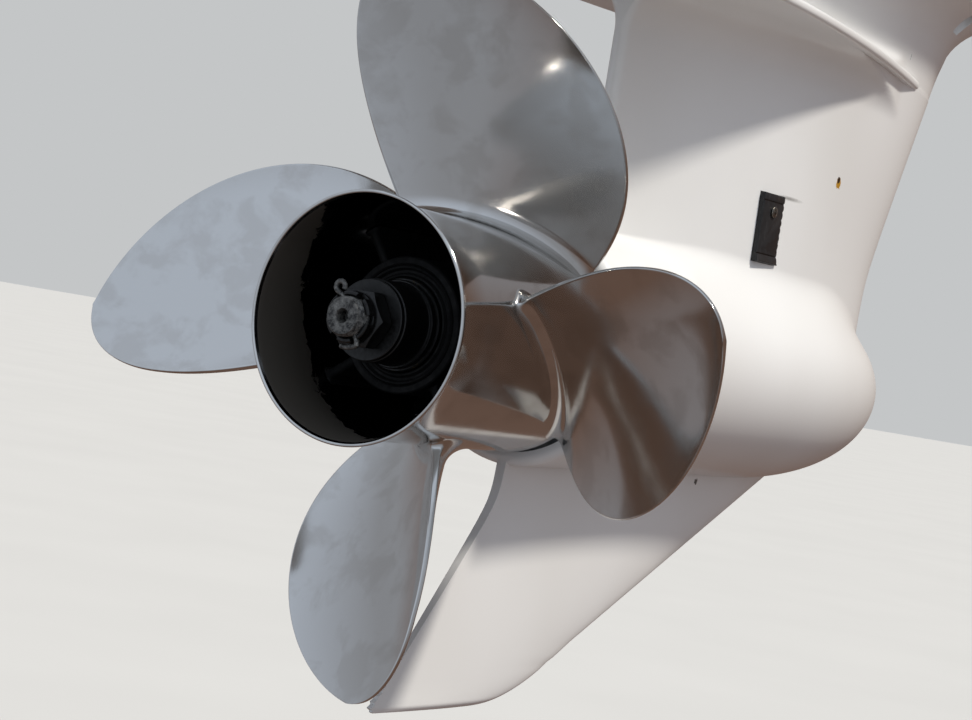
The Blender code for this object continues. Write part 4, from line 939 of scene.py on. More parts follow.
def plate():
    """A flat plate with a half-round edge."""
    low = gearcase_sizes().plate_height
    round_off = PLATE_THICKNESS * PLATE_EDGE_ROUND
    steps = 5
    edge = []
    for step in range(steps + 1):
        angle = 0.5 * math.pi * step / steps
        edge.append((round_off * (1.0 - math.cos(angle)), round_off * (1.0 - math.sin(angle))))
    rings = [plate_ring(low + rise, inset) for rise, inset in edge]
    rings += [plate_ring(plate_top() - rise, inset) for rise, inset in edge[::-1]]
    return capped(rings)


def flange():
    low = flange_underside()
    high = gearcase_sizes().flange_height
    rings = []
    for height, inset in ((low, FLANGE_EDGE), (low + FLANGE_EDGE, 0.0), (high - FLANGE_EDGE, 0.0),
                          (high, FLANGE_EDGE)):
        rings.append(section_ring(height, flange_nose() - inset, FLANGE_TRAILING_STATION + inset,
                                  FLANGE_HALF_WIDTH - inset, FLANGE_TRAILING_HALF_WIDTH - inset))
    return capped(rings)


def skeg_leading_station(height):
    """A straight raked edge that turns in a curve into the level bottom, with a dent half way."""
    bottom = gearcase_sizes().skeg_bottom
    straight = SKEG_ROOT_STATION + SKEG_SWEEP * (height - SKEG_ROOT_HEIGHT)
    dent = DENT_DEPTH * math.exp(-((height - DENT_HEIGHT) / DENT_REACH) ** 2)
    if height >= SKEG_CURVE_HEIGHT:
        return straight - dent
    start = SKEG_ROOT_STATION + SKEG_SWEEP * (SKEG_CURVE_HEIGHT - SKEG_ROOT_HEIGHT)
    drop = (SKEG_CURVE_HEIGHT - height) / (SKEG_CURVE_HEIGHT - bottom)
    return start - (start - SKEG_HEEL_STATION) * (1.0 - math.sqrt(max(0.0, 1.0 - drop))) ** 0.9 - dent


def skeg_trailing_station(height):
    """The trailing edge drops from the torpedo and then sweeps aft to a nicked toe."""
    rise = height - gearcase_sizes().skeg_bottom
    back = SKEG_TOE_STATION + SKEG_TOE_SLOPE * rise
    near_toe = max(0.0, 1.0 - rise / TOE_NICK_REACH)
    nicks = near_toe * (0.0008 * math.sin(height * 2100.0) + 0.0006 * math.sin(height * 3700.0 + 1.0))
    gap = back - SKEG_TRAILING_STATION
    return back - (gap / 2.0 + math.hypot(gap / 2.0, TOE_BLEND)) + TOE_BLEND / 2.0 + nicks


def skeg():
    bottom = gearcase_sizes().skeg_bottom
    straight = np.linspace(SKEG_TOP, SKEG_CURVE_HEIGHT, 46)
    curved = mix(SKEG_CURVE_HEIGHT, bottom, np.sin(0.5 * math.pi * np.arange(1, 25) / 24))
    rings = []
    for height in np.concatenate([straight, curved]):
        share = max(0.0, (height - SKEG_ROOT_HEIGHT) / (bottom - SKEG_ROOT_HEIGHT))
        half = mix(SKEG_ROOT_HALF_THICKNESS, SKEG_TIP_HALF_THICKNESS, share)
        low = min(1.0, max(0.0, (bottom + SKEG_EDGE - height) / SKEG_EDGE))
        half *= mix(1.0, SKEG_EDGE_PINCH, low ** 2)
        trailing = skeg_trailing_station(height) + SKEG_TAIL_ROUND * low ** 2
        rings.append(section_ring(height, skeg_leading_station(height), trailing, half, half / 3.0))
    return capped(rings)


class CastingOperator(bpy.types.Operator):
    """Builds the white casting: torpedo, strut, skeg, plate, leg and flange in one"""
    bl_idname = "gearcase.casting"
    bl_label = "Casting"

    def execute(self, context):
        aft = context.scene.gearcase_sizes.torpedo_aft
        casting = add_object("white_casting", mesh_of("white_casting", torpedo_and_strut()))
        combined(casting, (skeg(), plate(), leg(), flange()), "UNION")
        cavity = turned(bevelled_rod(CAVITY_RADIUS, aft - 0.010, aft + CAVITY_DEPTH, BOLT_EDGE), 120)
        combined(casting, [cavity] + casting_pockets(), "DIFFERENCE")
        finished(casting, "white_enamel", STATIC, ("gearcase_casting",), CASTING_SHARP_ANGLE,
                 keep_flats=True)
        top = flange_underside() + SEAT_GAP
        for label, side in SIDES:
            centre = (side * RECESS_CENTRE[0], RECESS_CENTRE[1])
            head = hexagon("recessed_bolt_" + label, RECESS_BOLT_FLATS, top - RECESS_BOLT_HEIGHT, top,
                           centre, "Z")
            edge_broken(head, BOLT_EDGE)
            finished(head, "plain_stainless", STATIC)
        return {"FINISHED"}


RECESS_CENTRE = (0.0370, 0.588)
RECESS_RADIUS = 0.0090
RECESS_DEPTH = 0.022
RECESS_BOLT_FLATS = 0.0090
RECESS_BOLT_HEIGHT = 0.0055
SLOT_CENTRE = (0.030, 0.520, 0.223)
SLOT_SIZE = (0.016, 0.0012, 0.0038)
SCREEN_WIDTH = 0.027
SCREEN_HEIGHT = 0.041
SCREEN_STATION = 0.353
SCREEN_MIDDLE_HEIGHT = 0.090
PUMP_STATION = 0.455
PUMP_WELL_DEPTH = 0.004
PUMP_WELL_RADIUS = 0.0510
DRIVE_SHAFT_RADIUS = 0.0120
DRIVE_SHAFT_BORE_DEPTH = 0.020
SHIFT_ROD_STATION = 0.575
EXHAUST_STATIONS = (0.235, 0.335)
EXHAUST_HALF_WIDTH = 0.022
EXHAUST_DEPTH = 0.060
PLUG_RADIUS = 0.0085
PLUG_HOLE_START = -0.12
PUMP_CENTRE = (0.0, PUMP_STATION)
BOLT_EDGE = 0.0002
CUT_CLEAR = 0.01


def box_of(node):
    """A node's lowest and highest corner, laid out from the datum."""
    low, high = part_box(node)
    return np.array(low) - DATUM, np.array(high) - DATUM


def bore_for(node):
    """A blind round hole round an upright node, from its foot to well over the flange."""
    low, high = box_of(node)
    radius = (high[1] - low[1]) / 2.0 + SEAT_GAP
    top = gearcase_sizes().flange_height + 2.0 * CUT_CLEAR
    return turned(plain_rod(radius, low[2] - SEAT_GAP, top), 40, ((low + high) / 2.0)[:2], "Z")


def casting_pockets():
    """The holes and pockets that take the screens, plugs, pump, shafts, studs and dowels."""
    top = gearcase_sizes().flange_height
    pockets = []
    for label, side in SIDES:
        low, high = box_of("intake_screen_" + label)
        inner = min(abs(low[0]), abs(high[0])) - SEAT_GAP
        outer = 2.0 * gearcase_sizes().strut_half_width
        near, far = sorted((side * inner, side * outer))
        pockets.append(block((near, low[1] - SEAT_GAP, low[2] - SEAT_GAP),
                             (far, high[1] + SEAT_GAP, high[2] + SEAT_GAP)))
    for name in ("drain_plug", "level_plug"):
        low, high = box_of(name)
        hole = plain_rod(PLUG_RADIUS + 4.0 * SEAT_GAP, PLUG_HOLE_START, high[0] + SEAT_GAP)
        pockets.append(turned(hole, 48, ((low + high) / 2.0)[1:], "X"))
    bore = DRIVE_SHAFT_RADIUS + SEAT_GAP
    foot = top - DRIVE_SHAFT_BORE_DEPTH
    well = top - PUMP_WELL_DEPTH
    over = top + CUT_CLEAR
    stepped = ((0.0, foot), (bore, foot), (bore, well), (PUMP_WELL_RADIUS, well), (PUMP_WELL_RADIUS, over),
               (0.0, over))
    pockets.append(turned(stepped, 96, PUMP_CENTRE, "Z"))
    pockets.append(bore_for("shift_rod"))
    pockets.append(block((-EXHAUST_HALF_WIDTH, EXHAUST_STATIONS[0], top - EXHAUST_DEPTH),
                         (EXHAUST_HALF_WIDTH, EXHAUST_STATIONS[1], top + EXHAUST_DEPTH)))
    under = flange_underside()
    recess = plain_rod(RECESS_RADIUS, under - RECESS_DEPTH, under + SEAT_GAP)
    for side in (1.0, -1.0):
        pockets.append(turned(recess, 48, (side * RECESS_CENTRE[0], RECESS_CENTRE[1]), "Z"))
        middle = np.array(SLOT_CENTRE) * (side, 1.0, 1.0)
        pockets.append(block(middle - np.array(SLOT_SIZE) / 2.0, middle + np.array(SLOT_SIZE) / 2.0))
    names = [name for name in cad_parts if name.startswith(("flange_stud", "flange_dowel"))]
    pockets += [bore_for(name) for name in sorted(names)]
    return pockets


# Propeller

BARREL_WALL = 0.0030
BARREL_EDGE = 0.0005
RIM_FLARE = 0.0040
RIM_FLARE_LENGTH = 0.028
RIM_WALL = 0.0018
BLADE_SETBACK = 0.0565
RAKE_SLOPE = 0.44
TIP_ANGLE = 4.6
LEADING_SWEEP = 51.5
TRAILING_SWEEP = 17.6
LEADING_FULLNESS = (2.4, 0.78)
TRAILING_FULLNESS = (2.1, 0.46)
ROOT_THICKNESS = 0.0085
TIP_THICKNESS = 0.0014
EDGE_THICKNESS = 0.0036
TIP_EDGE_THICKNESS = 0.0024
CAMBER = 0.030
CUP_DEPTH = 0.0025
EDGE_FILLET = 0.0045
TRAILING_CORNER = 0.0007
CUP_START = 0.80
BLADE_SUNK = 0.0012


def rounding_loss(radius, distance):
    """How much a rounded edge of this radius takes off at a distance from the edge."""
    return radius - np.sqrt(np.maximum(radius ** 2 - np.maximum(radius - distance, 0.0) ** 2, 0.0))


def propeller_sizes():
    return bpy.context.scene.propeller_sizes


def barrel_outside(station):
    share = np.maximum(0.0, 1.0 - station / RIM_FLARE_LENGTH)
    return propeller_sizes().barrel_radius + RIM_FLARE * share ** 2


def barrel_wall(station):
    return mix(BARREL_WALL, RIM_WALL, np.maximum(0.0, 1.0 - station / RIM_FLARE_LENGTH))


def barrel():
    """The open exhaust tube with its flared rim and broken edges."""
    length = propeller_sizes().barrel_length
    flare = RIM_FLARE_LENGTH * np.linspace(0.0, 1.0, 15)
    outside = barrel_outside(length)
    outer = [(barrel_outside(station), station) for station in flare[1:]]
    outer += [(outside, length - BARREL_EDGE), (outside - BARREL_EDGE, length)]
    inner = [(barrel_outside(station) - barrel_wall(station), station) for station in flare[1:]]
    inner.append((outside - BARREL_WALL, length))
    lip = barrel_outside(0.0)
    steps = 6
    round_lip = []
    for step in range(steps + 1):
        angle = math.pi * step / steps
        round_lip.append((lip - RIM_WALL / 2.0 - RIM_WALL / 2.0 * math.cos(angle),
                          RIM_WALL / 2.0 * (1.0 - math.sin(angle))))
    return turned(round_lip + outer + inner[::-1], 192)


def blade_skin(radii, along, face):
    """Points on one face of a blade: rows by radius, columns from the leading edge, 0, to the trailing, 1.

    face is 1 on the side that faces forward and -1 on the side that pushes. The section lies on a cylinder
    and its middle line climbs along the pitch helix.
    """
    sizes = propeller_sizes()
    height = (radii - sizes.barrel_radius)[:, None]
    radius = radii[:, None]
    along = along[None, :]
    share = np.clip(height / (sizes.tip_radius - sizes.barrel_radius), 0.0, 1.0)
    leading = TIP_ANGLE - LEADING_SWEEP * (1.0 - share ** LEADING_FULLNESS[0]) ** LEADING_FULLNESS[1]
    trailing = TIP_ANGLE + TRAILING_SWEEP * (1.0 - share ** TRAILING_FULLNESS[0]) ** TRAILING_FULLNESS[1]
    pitch = mix(sizes.root_pitch, sizes.tip_pitch, share) / (2.0 * math.pi)
    slant = np.hypot(radius, pitch)
    chord = np.radians(trailing - leading) * slant
    full_chord = chord + 2.0 * fillet_reach(height, EDGE_FILLET)

    bulge = 4.0 * along * (1.0 - along)
    edge = mix(EDGE_THICKNESS, TIP_EDGE_THICKNESS, share)
    nose_loss = rounding_loss(np.minimum(edge / 2.0, full_chord * 0.2), along * full_chord)
    tail_loss = rounding_loss(TRAILING_CORNER, (1.0 - along) * full_chord)
    half = mix(ROOT_THICKNESS, TIP_THICKNESS, share) * bulge / 2.0 + edge / 2.0 - nose_loss - tail_loss
    offset = face * (half + fillet_reach(height, sizes.fillet) * bulge ** 0.25)
    offset = offset + CAMBER * chord * bulge
    cup = np.maximum(0.0, (along - CUP_START) / 0.20)
    offset = offset - CUP_DEPTH * cup ** 2 * np.minimum(1.0, 3.0 * (1.0 - share))

    distance = (along - 0.5) * full_chord
    middle = np.radians((leading + trailing) / 2.0)
    angle = middle + distance / slant + offset * pitch / (slant * radius)
    ahead = sizes.barrel_length - BLADE_SETBACK - RAKE_SLOPE * height - pitch * (middle + distance / slant)
    station = ahead + offset * radius / slant
    return np.stack([radius * np.cos(angle), station, radius * np.sin(angle)], axis=-1)


def blade():
    """One blade, closed, with its root inside the barrel's wall."""
    sizes = propeller_sizes()
    span = sizes.tip_radius - sizes.barrel_radius
    turns = 0.5 * math.pi * np.arange(15) / 14
    root = sizes.fillet * (1.0 - np.cos(turns)) - 0.00002
    outer = span * np.sin(0.5 * math.pi * np.arange(1, 61) / 60.0)
    outer = outer[outer > root[-1] * 1.1]
    heights = np.concatenate([[-BLADE_SUNK], root, outer[:-1], [span * 0.9992]])
    radii = sizes.barrel_radius + heights
    along = (1.0 - np.cos(math.pi * np.arange(81) / 80)) / 2.0
    forward = blade_skin(radii, along, 1.0)
    pushing = blade_skin(radii, along, -1.0)
    rings = np.concatenate([forward, pushing[:, ::-1]], axis=1)
    return capped(rings)


HUB_RADIUS = 0.0340
HUB_WALL = 0.0040
HUB_AFT_STATION = 0.040
HUB_SETBACK = 0.0025
RIB_COUNT = 4
RIB_THICKNESS = 0.005
RIB_AFT_STATION = 0.046
RIB_SETBACK = 0.0085
RIB_FILLET = 0.0030
FIRST_RIB_ANGLE = 35.0
SLEEVE_WALL = 0.0080
SLEEVE_AFT_STATION = 0.0380
SPACER_RADIUS = 0.0205
SPACER_COLLAR_RADIUS = 0.0220
SPACER_COLLAR_LENGTH = 0.0035
WASHER_RADIUS = 0.0200
WASHER_THICKNESS = 0.0025
WASHER_AFT_STATION = 0.0108
THRUST_WASHER_RADIUS = 0.027
THRUST_WASHER_THICKNESS = 0.0085
THRUST_CONE = 0.003
TURNED_EDGE = 0.0005
SHAFT_RADIUS = 0.0150
THREAD_RADIUS = 0.0098
THREAD_DEPTH = 0.0009
THREAD_PITCH = 0.0015
SHAFT_END_STATION = -0.010
SHAFT_REACH = 0.038
CENTRE_DRILL_RADIUS = 0.0034
CENTRE_DRILL_DEPTH = 0.008
NUT_ACROSS_FLATS = 0.0270
NUT_HEIGHT = 0.0165
CASTLE_RADIUS = 0.0126
CASTLE_HEIGHT = 0.0065
CASTLE_SLOT = 0.0044
CASTLE_SLOTS = 6
PIN_RADIUS = 0.0013
PIN_ANGLE = 120.0
PIN_EYE_RADIUS = 0.0026
PIN_LEG_TURN = 40.0
PIN_HOLE_REACH = 0.02


def hub_rib():
    """A web from the hub to the barrel with a round aft edge and a fillet at both ends."""
    reach = propeller_sizes().barrel_radius - BARREL_WALL - 2.0 * SEAT_GAP
    front = propeller_sizes().barrel_length - RIB_SETBACK
    round_aft = RIB_THICKNESS / 2.0
    near = HUB_RADIUS + RIB_FILLET * np.linspace(0.0, 1.0, 6) ** 1.5
    far = reach - RIB_FILLET * np.linspace(1.0, 0.0, 6) ** 1.5
    rings = []
    for radius in np.concatenate([[HUB_RADIUS - HUB_WALL / 2.0], near, far]):
        fillets = fillet_reach(radius - HUB_RADIUS, RIB_FILLET) + fillet_reach(reach - radius, RIB_FILLET)
        half = round_aft + float(fillets) * 0.8
        turns = np.radians(np.linspace(-90.0, 90.0, 11))
        across = np.concatenate([half * np.sin(turns), [half, -half]])
        stations = np.concatenate([RIB_AFT_STATION + round_aft * (1.0 - np.cos(turns)), [front, front]])
        rings.append(np.stack([np.sqrt(radius ** 2 - across ** 2), stations, across], axis=-1))
    return capped(rings)


class HubOperator(bpy.types.Operator):
    """Builds the hub with its webs, the rubber bushing, the drive sleeve and the thrust washer"""
    bl_idname = "gearcase.hub"
    bl_label = "Hub"

    def execute(self, context):
        front = context.scene.propeller_sizes.barrel_length - HUB_SETBACK
        hub = add_object("exhaust_hub", mesh_of("exhaust_hub", turned(
            bevelled_tube(HUB_RADIUS, HUB_RADIUS - HUB_WALL, HUB_AFT_STATION, front, 0.0007), 96)))
        first = math.radians(FIRST_RIB_ANGLE)
        ribs = [spun(hub_rib(), first + 2.0 * math.pi * index / RIB_COUNT) for index in range(RIB_COUNT)]
        combined(hub, ribs, "UNION")
        # The hub, bushing and sleeve wear soot looks that are also painted shade for the barrel's shaded
        # inside
        finished(hub, "black_exhaust_paint", ROTOR, ("inner_hub",), look="soot_and_shade_black")

        sleeve_inner = SHAFT_RADIUS + SEAT_GAP
        sleeve_outer = sleeve_inner + SLEEVE_WALL
        outer = HUB_RADIUS - HUB_WALL - SEAT_GAP
        inner = sleeve_outer + SEAT_GAP
        aft = HUB_AFT_STATION
        middle = (outer + inner) / 2.0
        bushing = ((outer - 0.0006, aft), (outer, aft + 0.0008), (outer, front), (inner, front),
                   (inner, aft + 0.0008), (inner + 0.0006, aft), (inner + 0.0014, aft + 0.0002),
                   (middle - 0.0006, aft + 0.0017), (middle + 0.0006, aft + 0.0017),
                   (outer - 0.0014, aft + 0.0002))
        piece_of("hub_bushing", turned(bushing, 96), "rubber", ROTOR, ("rubber_bushing",), look="soot_and_shade_black")
        sleeve = bevelled_tube(sleeve_outer, sleeve_inner, SLEEVE_AFT_STATION, front, 0.0006)
        piece_of("splined_sleeve", turned(sleeve, 96), "brass", ROTOR, ("drive_sleeve",),
                 look="sooted_brass")
        start = front + SEAT_GAP
        end = start + THRUST_WASHER_THICKNESS
        rim = THRUST_WASHER_RADIUS
        thrust = ((rim - THRUST_CONE, start), (rim, start + THRUST_CONE), (rim, end - TURNED_EDGE),
                  (rim - TURNED_EDGE, end), (sleeve_inner + TURNED_EDGE, end),
                  (sleeve_inner, end - TURNED_EDGE), (sleeve_inner, start))
        piece_of("thrust_ring", turned(thrust, 96), "plain_stainless", ROTOR, ("thrust_washer",))
        return {"FINISHED"}


def nut_aft_station():
    return WASHER_AFT_STATION - SEAT_GAP - NUT_HEIGHT


def pin_station():
    return nut_aft_station() + CASTLE_SLOT / 2.0


def slot_star():
    """The castle nut's slots as one star of straight arms, from end to end of the slots."""
    half_turn = math.pi / CASTLE_SLOTS
    inner = CASTLE_SLOT / 2.0 / math.sin(half_turn)
    outline = []
    for index in range(CASTLE_SLOTS):
        angle = math.radians(PIN_ANGLE) + 2.0 * half_turn * index
        for side in (-CASTLE_SLOT / 2.0, CASTLE_SLOT / 2.0):
            outline.append((2.0 * CASTLE_RADIUS * math.cos(angle) - side * math.sin(angle),
                            2.0 * CASTLE_RADIUS * math.sin(angle) + side * math.cos(angle)))
        outline.append((inner * math.cos(angle + half_turn), inner * math.sin(angle + half_turn)))
    rings = [[(x, station, z) for x, z in outline]
             for station in (nut_aft_station() - 0.004, nut_aft_station() + CASTLE_SLOT)]
    return capped(np.array(rings))


def corner_trim(across_flats, start, end, both_ends=True):
    """The profile of the turned shape that trims a hexagon's corners."""
    flat = across_flats / 2.0 * 0.97
    outside = across_flats / math.sqrt(3.0) * 1.01
    drop = (outside - flat) * 0.6
    front = (flat, end) if both_ends else (outside, end)
    return ((0.0, start), (flat, start), (outside, start + drop), (outside, end - drop), front, (0.0, end))


def hexagon(name, across_flats, start, end, centre, axis, segments=64, both_ends=False):
    """A hexagonal head with its corners trimmed round."""
    prism = plain_rod(across_flats / math.sqrt(3.0), start, end)
    head = add_object(name, mesh_of(name, turned(prism, 6, centre, axis)))
    trim = turned(corner_trim(across_flats, start, end, both_ends), segments, centre, axis)
    combined(head, [trim], "INTERSECT")
    return head


def split_pin():
    """The split pin: eye, straight run, and a leg bent round the nut to one side."""
    eye_centre = CASTLE_RADIUS + PIN_RADIUS / 2.0 + PIN_EYE_RADIUS
    path = []
    for step in range(19):
        angle = math.radians(mix(-140.0, 130.0, step / 18.0))
        path.append((eye_centre + PIN_EYE_RADIUS * math.cos(angle), 0.0, PIN_EYE_RADIUS * math.sin(angle)))
    path += [(CASTLE_RADIUS - PIN_RADIUS, 0.0, 0.0), (0.0, 0.0, 0.0), (-CASTLE_RADIUS, 0.0, 0.0)]
    bend = CASTLE_RADIUS + PIN_RADIUS + 2.0 * SEAT_GAP
    for step in range(1, 15):
        angle = math.radians(180.0 - PIN_LEG_TURN * step / 14.0)
        path.append((bend * math.cos(angle), 0.0, bend * math.sin(angle)))
    return swept(path, PIN_RADIUS)


class ShaftOperator(bpy.types.Operator):
    """Builds the propeller shaft's end, the spacer, the washer, the castle nut and its split pin"""
    bl_idname = "gearcase.shaft"
    bl_label = "Shaft and nut"

    def execute(self, context):
        front = context.scene.gearcase_sizes.torpedo_aft + SHAFT_REACH
        end = SHAFT_END_STATION
        step = SLEEVE_AFT_STATION
        rod = threaded(THREAD_RADIUS, THREAD_DEPTH, THREAD_PITCH, end, WASHER_AFT_STATION, step, "Y", 64)
        shaft = add_object("turned_shaft", mesh_of("turned_shaft", rod))
        drill = turned(((0.0, end + CENTRE_DRILL_DEPTH),
                        (CENTRE_DRILL_RADIUS * 0.8, end + CENTRE_DRILL_DEPTH * 0.8),
                        (CENTRE_DRILL_RADIUS * 0.9, end + 0.0010),
                        (CENTRE_DRILL_RADIUS + 0.0010, end - 0.0010), (0.0, end - 0.001)), 48)
        hole = turned(plain_rod(PIN_RADIUS + SEAT_GAP, -PIN_HOLE_REACH, PIN_HOLE_REACH), 24,
                      (pin_station(), 0.0), "X")
        combined(shaft, [spun(hole, math.radians(PIN_ANGLE)), drill], "DIFFERENCE")
        journal = turned(((0.0, step - 0.001), (THREAD_RADIUS, step - 0.001), (THREAD_RADIUS, step),
                          (SHAFT_RADIUS, step + 0.002), (SHAFT_RADIUS, front - TURNED_EDGE),
                          (SHAFT_RADIUS - TURNED_EDGE, front), (0.0, front)), 64)
        combined(shaft, [journal], "UNION")
        # The shaft, spacer, washer, nut and pin wear soot looks that are also painted shade for the barrel's
        # shaded inside
        finished(shaft, "plain_stainless", ROTOR, ("propeller_shaft",), look="soot_and_shade_steel_end")

        inner = THREAD_RADIUS + SEAT_GAP
        start = WASHER_AFT_STATION + WASHER_THICKNESS + SEAT_GAP
        end = SLEEVE_AFT_STATION - SEAT_GAP
        collar = end - SPACER_COLLAR_LENGTH
        edge = TURNED_EDGE
        spacer = ((SPACER_RADIUS - edge, start), (SPACER_RADIUS, start + edge),
                  (SPACER_RADIUS, collar - edge), (SPACER_RADIUS + edge, collar),
                  (SPACER_COLLAR_RADIUS - edge, collar),
                  (SPACER_COLLAR_RADIUS, collar + edge), (SPACER_COLLAR_RADIUS, end - edge),
                  (SPACER_COLLAR_RADIUS - edge, end), (inner, end), (inner, start))
        washer = bevelled_tube(WASHER_RADIUS, inner, WASHER_AFT_STATION,
                               WASHER_AFT_STATION + WASHER_THICKNESS, 0.0004)
        for name, profile, node in (("spacer_tube", spacer, "hub_spacer"),
                                    ("flat_washer", washer, "nut_washer")):
            piece_of(name, turned(profile, 96), "plain_stainless", ROTOR, (node,), look="soot_and_shade_steel")

        aft = nut_aft_station()
        nut = hexagon("slotted_nut", NUT_ACROSS_FLATS, aft + CASTLE_HEIGHT, aft + NUT_HEIGHT, (0.0, 0.0),
                      "Y", 96, True)
        crown = ((0.0, aft), (CASTLE_RADIUS - 0.0006, aft), (CASTLE_RADIUS, aft + 0.0006),
                 (CASTLE_RADIUS, aft + CASTLE_HEIGHT + 0.002), (0.0, aft + CASTLE_HEIGHT + 0.002))
        combined(nut, [turned(crown, 96)], "UNION")
        over = aft + NUT_HEIGHT + 0.004
        bore = turned(((0.0, aft - 0.004), (inner + 0.0007, aft - 0.004), (inner + 0.0007, aft),
                       (inner, aft + 0.0007), (inner, over), (0.0, over)), 64)
        combined(nut, [bore, slot_star()], "DIFFERENCE")
        edge_broken(nut, 0.00025)
        finished(nut, "plain_stainless", ROTOR, ("castle_nut",), look="soot_and_shade_steel")

        points, faces = spun(split_pin(), math.radians(PIN_ANGLE))
        pin = (points + (0.0, pin_station(), 0.0), faces)
        piece_of("bent_split_pin", pin, "plain_stainless", ROTOR, ("cotter_pin",), look="soot_and_shade_steel_end")
        return {"FINISHED"}


class PropellerOperator(bpy.types.Operator):
    """Builds the polished barrel and its blades"""
    bl_idname = "gearcase.propeller"
    bl_label = "Propeller"

    def execute(self, context):
        tube = piece_of("polished_barrel", barrel(), "polished_stainless", ROTOR, ("outer_barrel",),
                        PROPELLER_SHARP_ANGLE)
        tube.data.materials.append(finish("black_exhaust_paint"))
        for face in tube.data.polygons:
            outward = face.center.x * face.normal.x + (face.center.z - DATUM[2]) * face.normal.z
            lip = face.center.y < DATUM[1] + RIM_WALL
            face.material_index = 1 if outward < 0.0 and not lip else 0
        count = context.scene.propeller_sizes.blades
        for index in range(count):
            name = "polished_blade_%d" % (index + 1)
            shape = spun(blade(), 2.0 * math.pi * index / count)
            piece_of(name, shape, "polished_stainless", ROTOR, ("blade_%d" % (index + 1),),
                     PROPELLER_SHARP_ANGLE)
        return {"FINISHED"}


# Intake screens, plugs and anode

SCREEN_THICKNESS = 0.0045
SCREEN_TEETH = 9
SCREEN_TOOTH = 0.0016
SCREEN_EDGE = 0.0005
SCREW_HEAD_RADIUS = 0.0034
SCREW_HEAD_HEIGHT = 0.0014
SCREEN_GROOVES = (0.39, -0.38)
GROOVE_DEPTH = 0.0005
GROOVE_HALF_WIDTH = 0.0004
SCREEN_TOE_LIFT = 0.0013
CROSS_ANGLES = (25.0, 115.0)
PLUG_EDGE = 0.0007
GASKET_THICKNESS = 0.0009
GASKET_BORE_RADIUS = 0.0045
PLUG_SLOT_REACH = 0.0062
PLUG_SLOT_HALF_WIDTH = 0.0010
PLUG_SLOT_DEPTH = 0.0019


def screen_outline(inset, across):
    """A screen's outline, scalloped along its forward edge, at a distance from the middle plane."""
    half_width = SCREEN_WIDTH / 2.0 - inset
    half_height = SCREEN_HEIGHT / 2.0 - inset
    up = np.linspace(half_height, -half_height, SCREEN_TEETH * 8 + 1)
    scallop = SCREEN_TOOTH * (1.0 - np.abs(np.sin(math.pi * np.arange(len(up)) / 8.0)) ** 0.6)
    scallop[0] = scallop[-1] = 0.0
    plain = [(-half_width, half_height * share) for share in (-1.0, -0.7, 0.0, 1.0)]
    outline = plain + list(zip(half_width - scallop, up))
    ring = []
    for station, height in outline:
        toe = max(0.0, -height / half_height - 0.62) / 0.38
        out = across + SCREEN_TOE_LIFT * toe ** 2 if across > SCREEN_THICKNESS * 0.5 else across
        ring.append((out, SCREEN_STATION + station, SCREEN_MIDDLE_HEIGHT + height))
    return ring


class ScreensOperator(bpy.types.Operator):
    """Builds the cooling water intake screens and their cross-head screws"""
    bl_idname = "gearcase.screens"
    bl_label = "Intake screens"

    def execute(self, context):
        levels = ((0.0, 0.0), (0.0, SCREEN_THICKNESS - SCREEN_EDGE),
                  (SCREEN_EDGE * 0.3, SCREEN_THICKNESS - SCREEN_EDGE * 0.3), (SCREEN_EDGE, SCREEN_THICKNESS))
        for label, side in SIDES:
            low, high = box_of("intake_screen_" + label)
            floor = min(abs(low[0]), abs(high[0]))
            face = floor + SCREEN_THICKNESS
            near, far = sorted((side * (face - GROOVE_DEPTH), side * (face + SCREEN_THICKNESS)))
            rings = np.array([screen_outline(inset, depth) for inset, depth in levels])
            rings[:, :, 0] = (rings[:, :, 0] + floor) * side
            screen = add_object("toothed_screen_" + label, mesh_of("toothed_screen", capped(rings)))
            grooves = []
            for share in SCREEN_GROOVES:
                height = SCREEN_MIDDLE_HEIGHT + SCREEN_HEIGHT * share
                grooves.append(block((near, SCREEN_STATION - SCREEN_WIDTH, height - GROOVE_HALF_WIDTH),
                                     (far, SCREEN_STATION + SCREEN_WIDTH, height + GROOVE_HALF_WIDTH)))
            combined(screen, grooves, "DIFFERENCE")
            finished(screen, "black_plastic", STATIC, ("intake_screen_" + label,), 30.0)
            self.add_screw(label, side)
        return {"FINISHED"}

    def add_screw(self, label, side):
        low, high = box_of("screen_screw_" + label)
        seat = min(abs(low[0]), abs(high[0]))
        centre = ((low + high) / 2.0)[1:]
        top = seat + SCREW_HEAD_HEIGHT
        dome = [(SCREW_HEAD_RADIUS * math.sin(turn), seat + 0.3 * SCREW_HEAD_HEIGHT + 0.7 * SCREW_HEAD_HEIGHT
                 * math.cos(turn) ** 0.8) for turn in np.radians(np.linspace(89.0, 0.0, 10))]
        profile = [(0.0, seat), (SCREW_HEAD_RADIUS * 0.97, seat)] + dome
        screw = add_object("cross_head_screw_" + label, mesh_of("screw", turned(
            [(radius, side * distance) for radius, distance in profile], 48, centre, "X")))
        arms = []
        for angle in np.radians(CROSS_ANGLES):
            rings = []
            for depth, half, reach in ((top - 0.0011, 0.00025, 0.0009), (top + 0.0004, 0.00045, 0.0022)):
                corners = ((-reach, -half), (reach, -half), (reach, half), (-reach, half))
                rings.append([(side * depth, centre[0] + a * math.cos(angle) - b * math.sin(angle),
                               centre[1] + a * math.sin(angle) + b * math.cos(angle)) for a, b in corners])
            arms.append(capped(np.array(rings)))
        combined(screw, arms, "DIFFERENCE")
        finished(screw, "plain_stainless", STATIC, ("screen_screw_" + label,), 30.0)


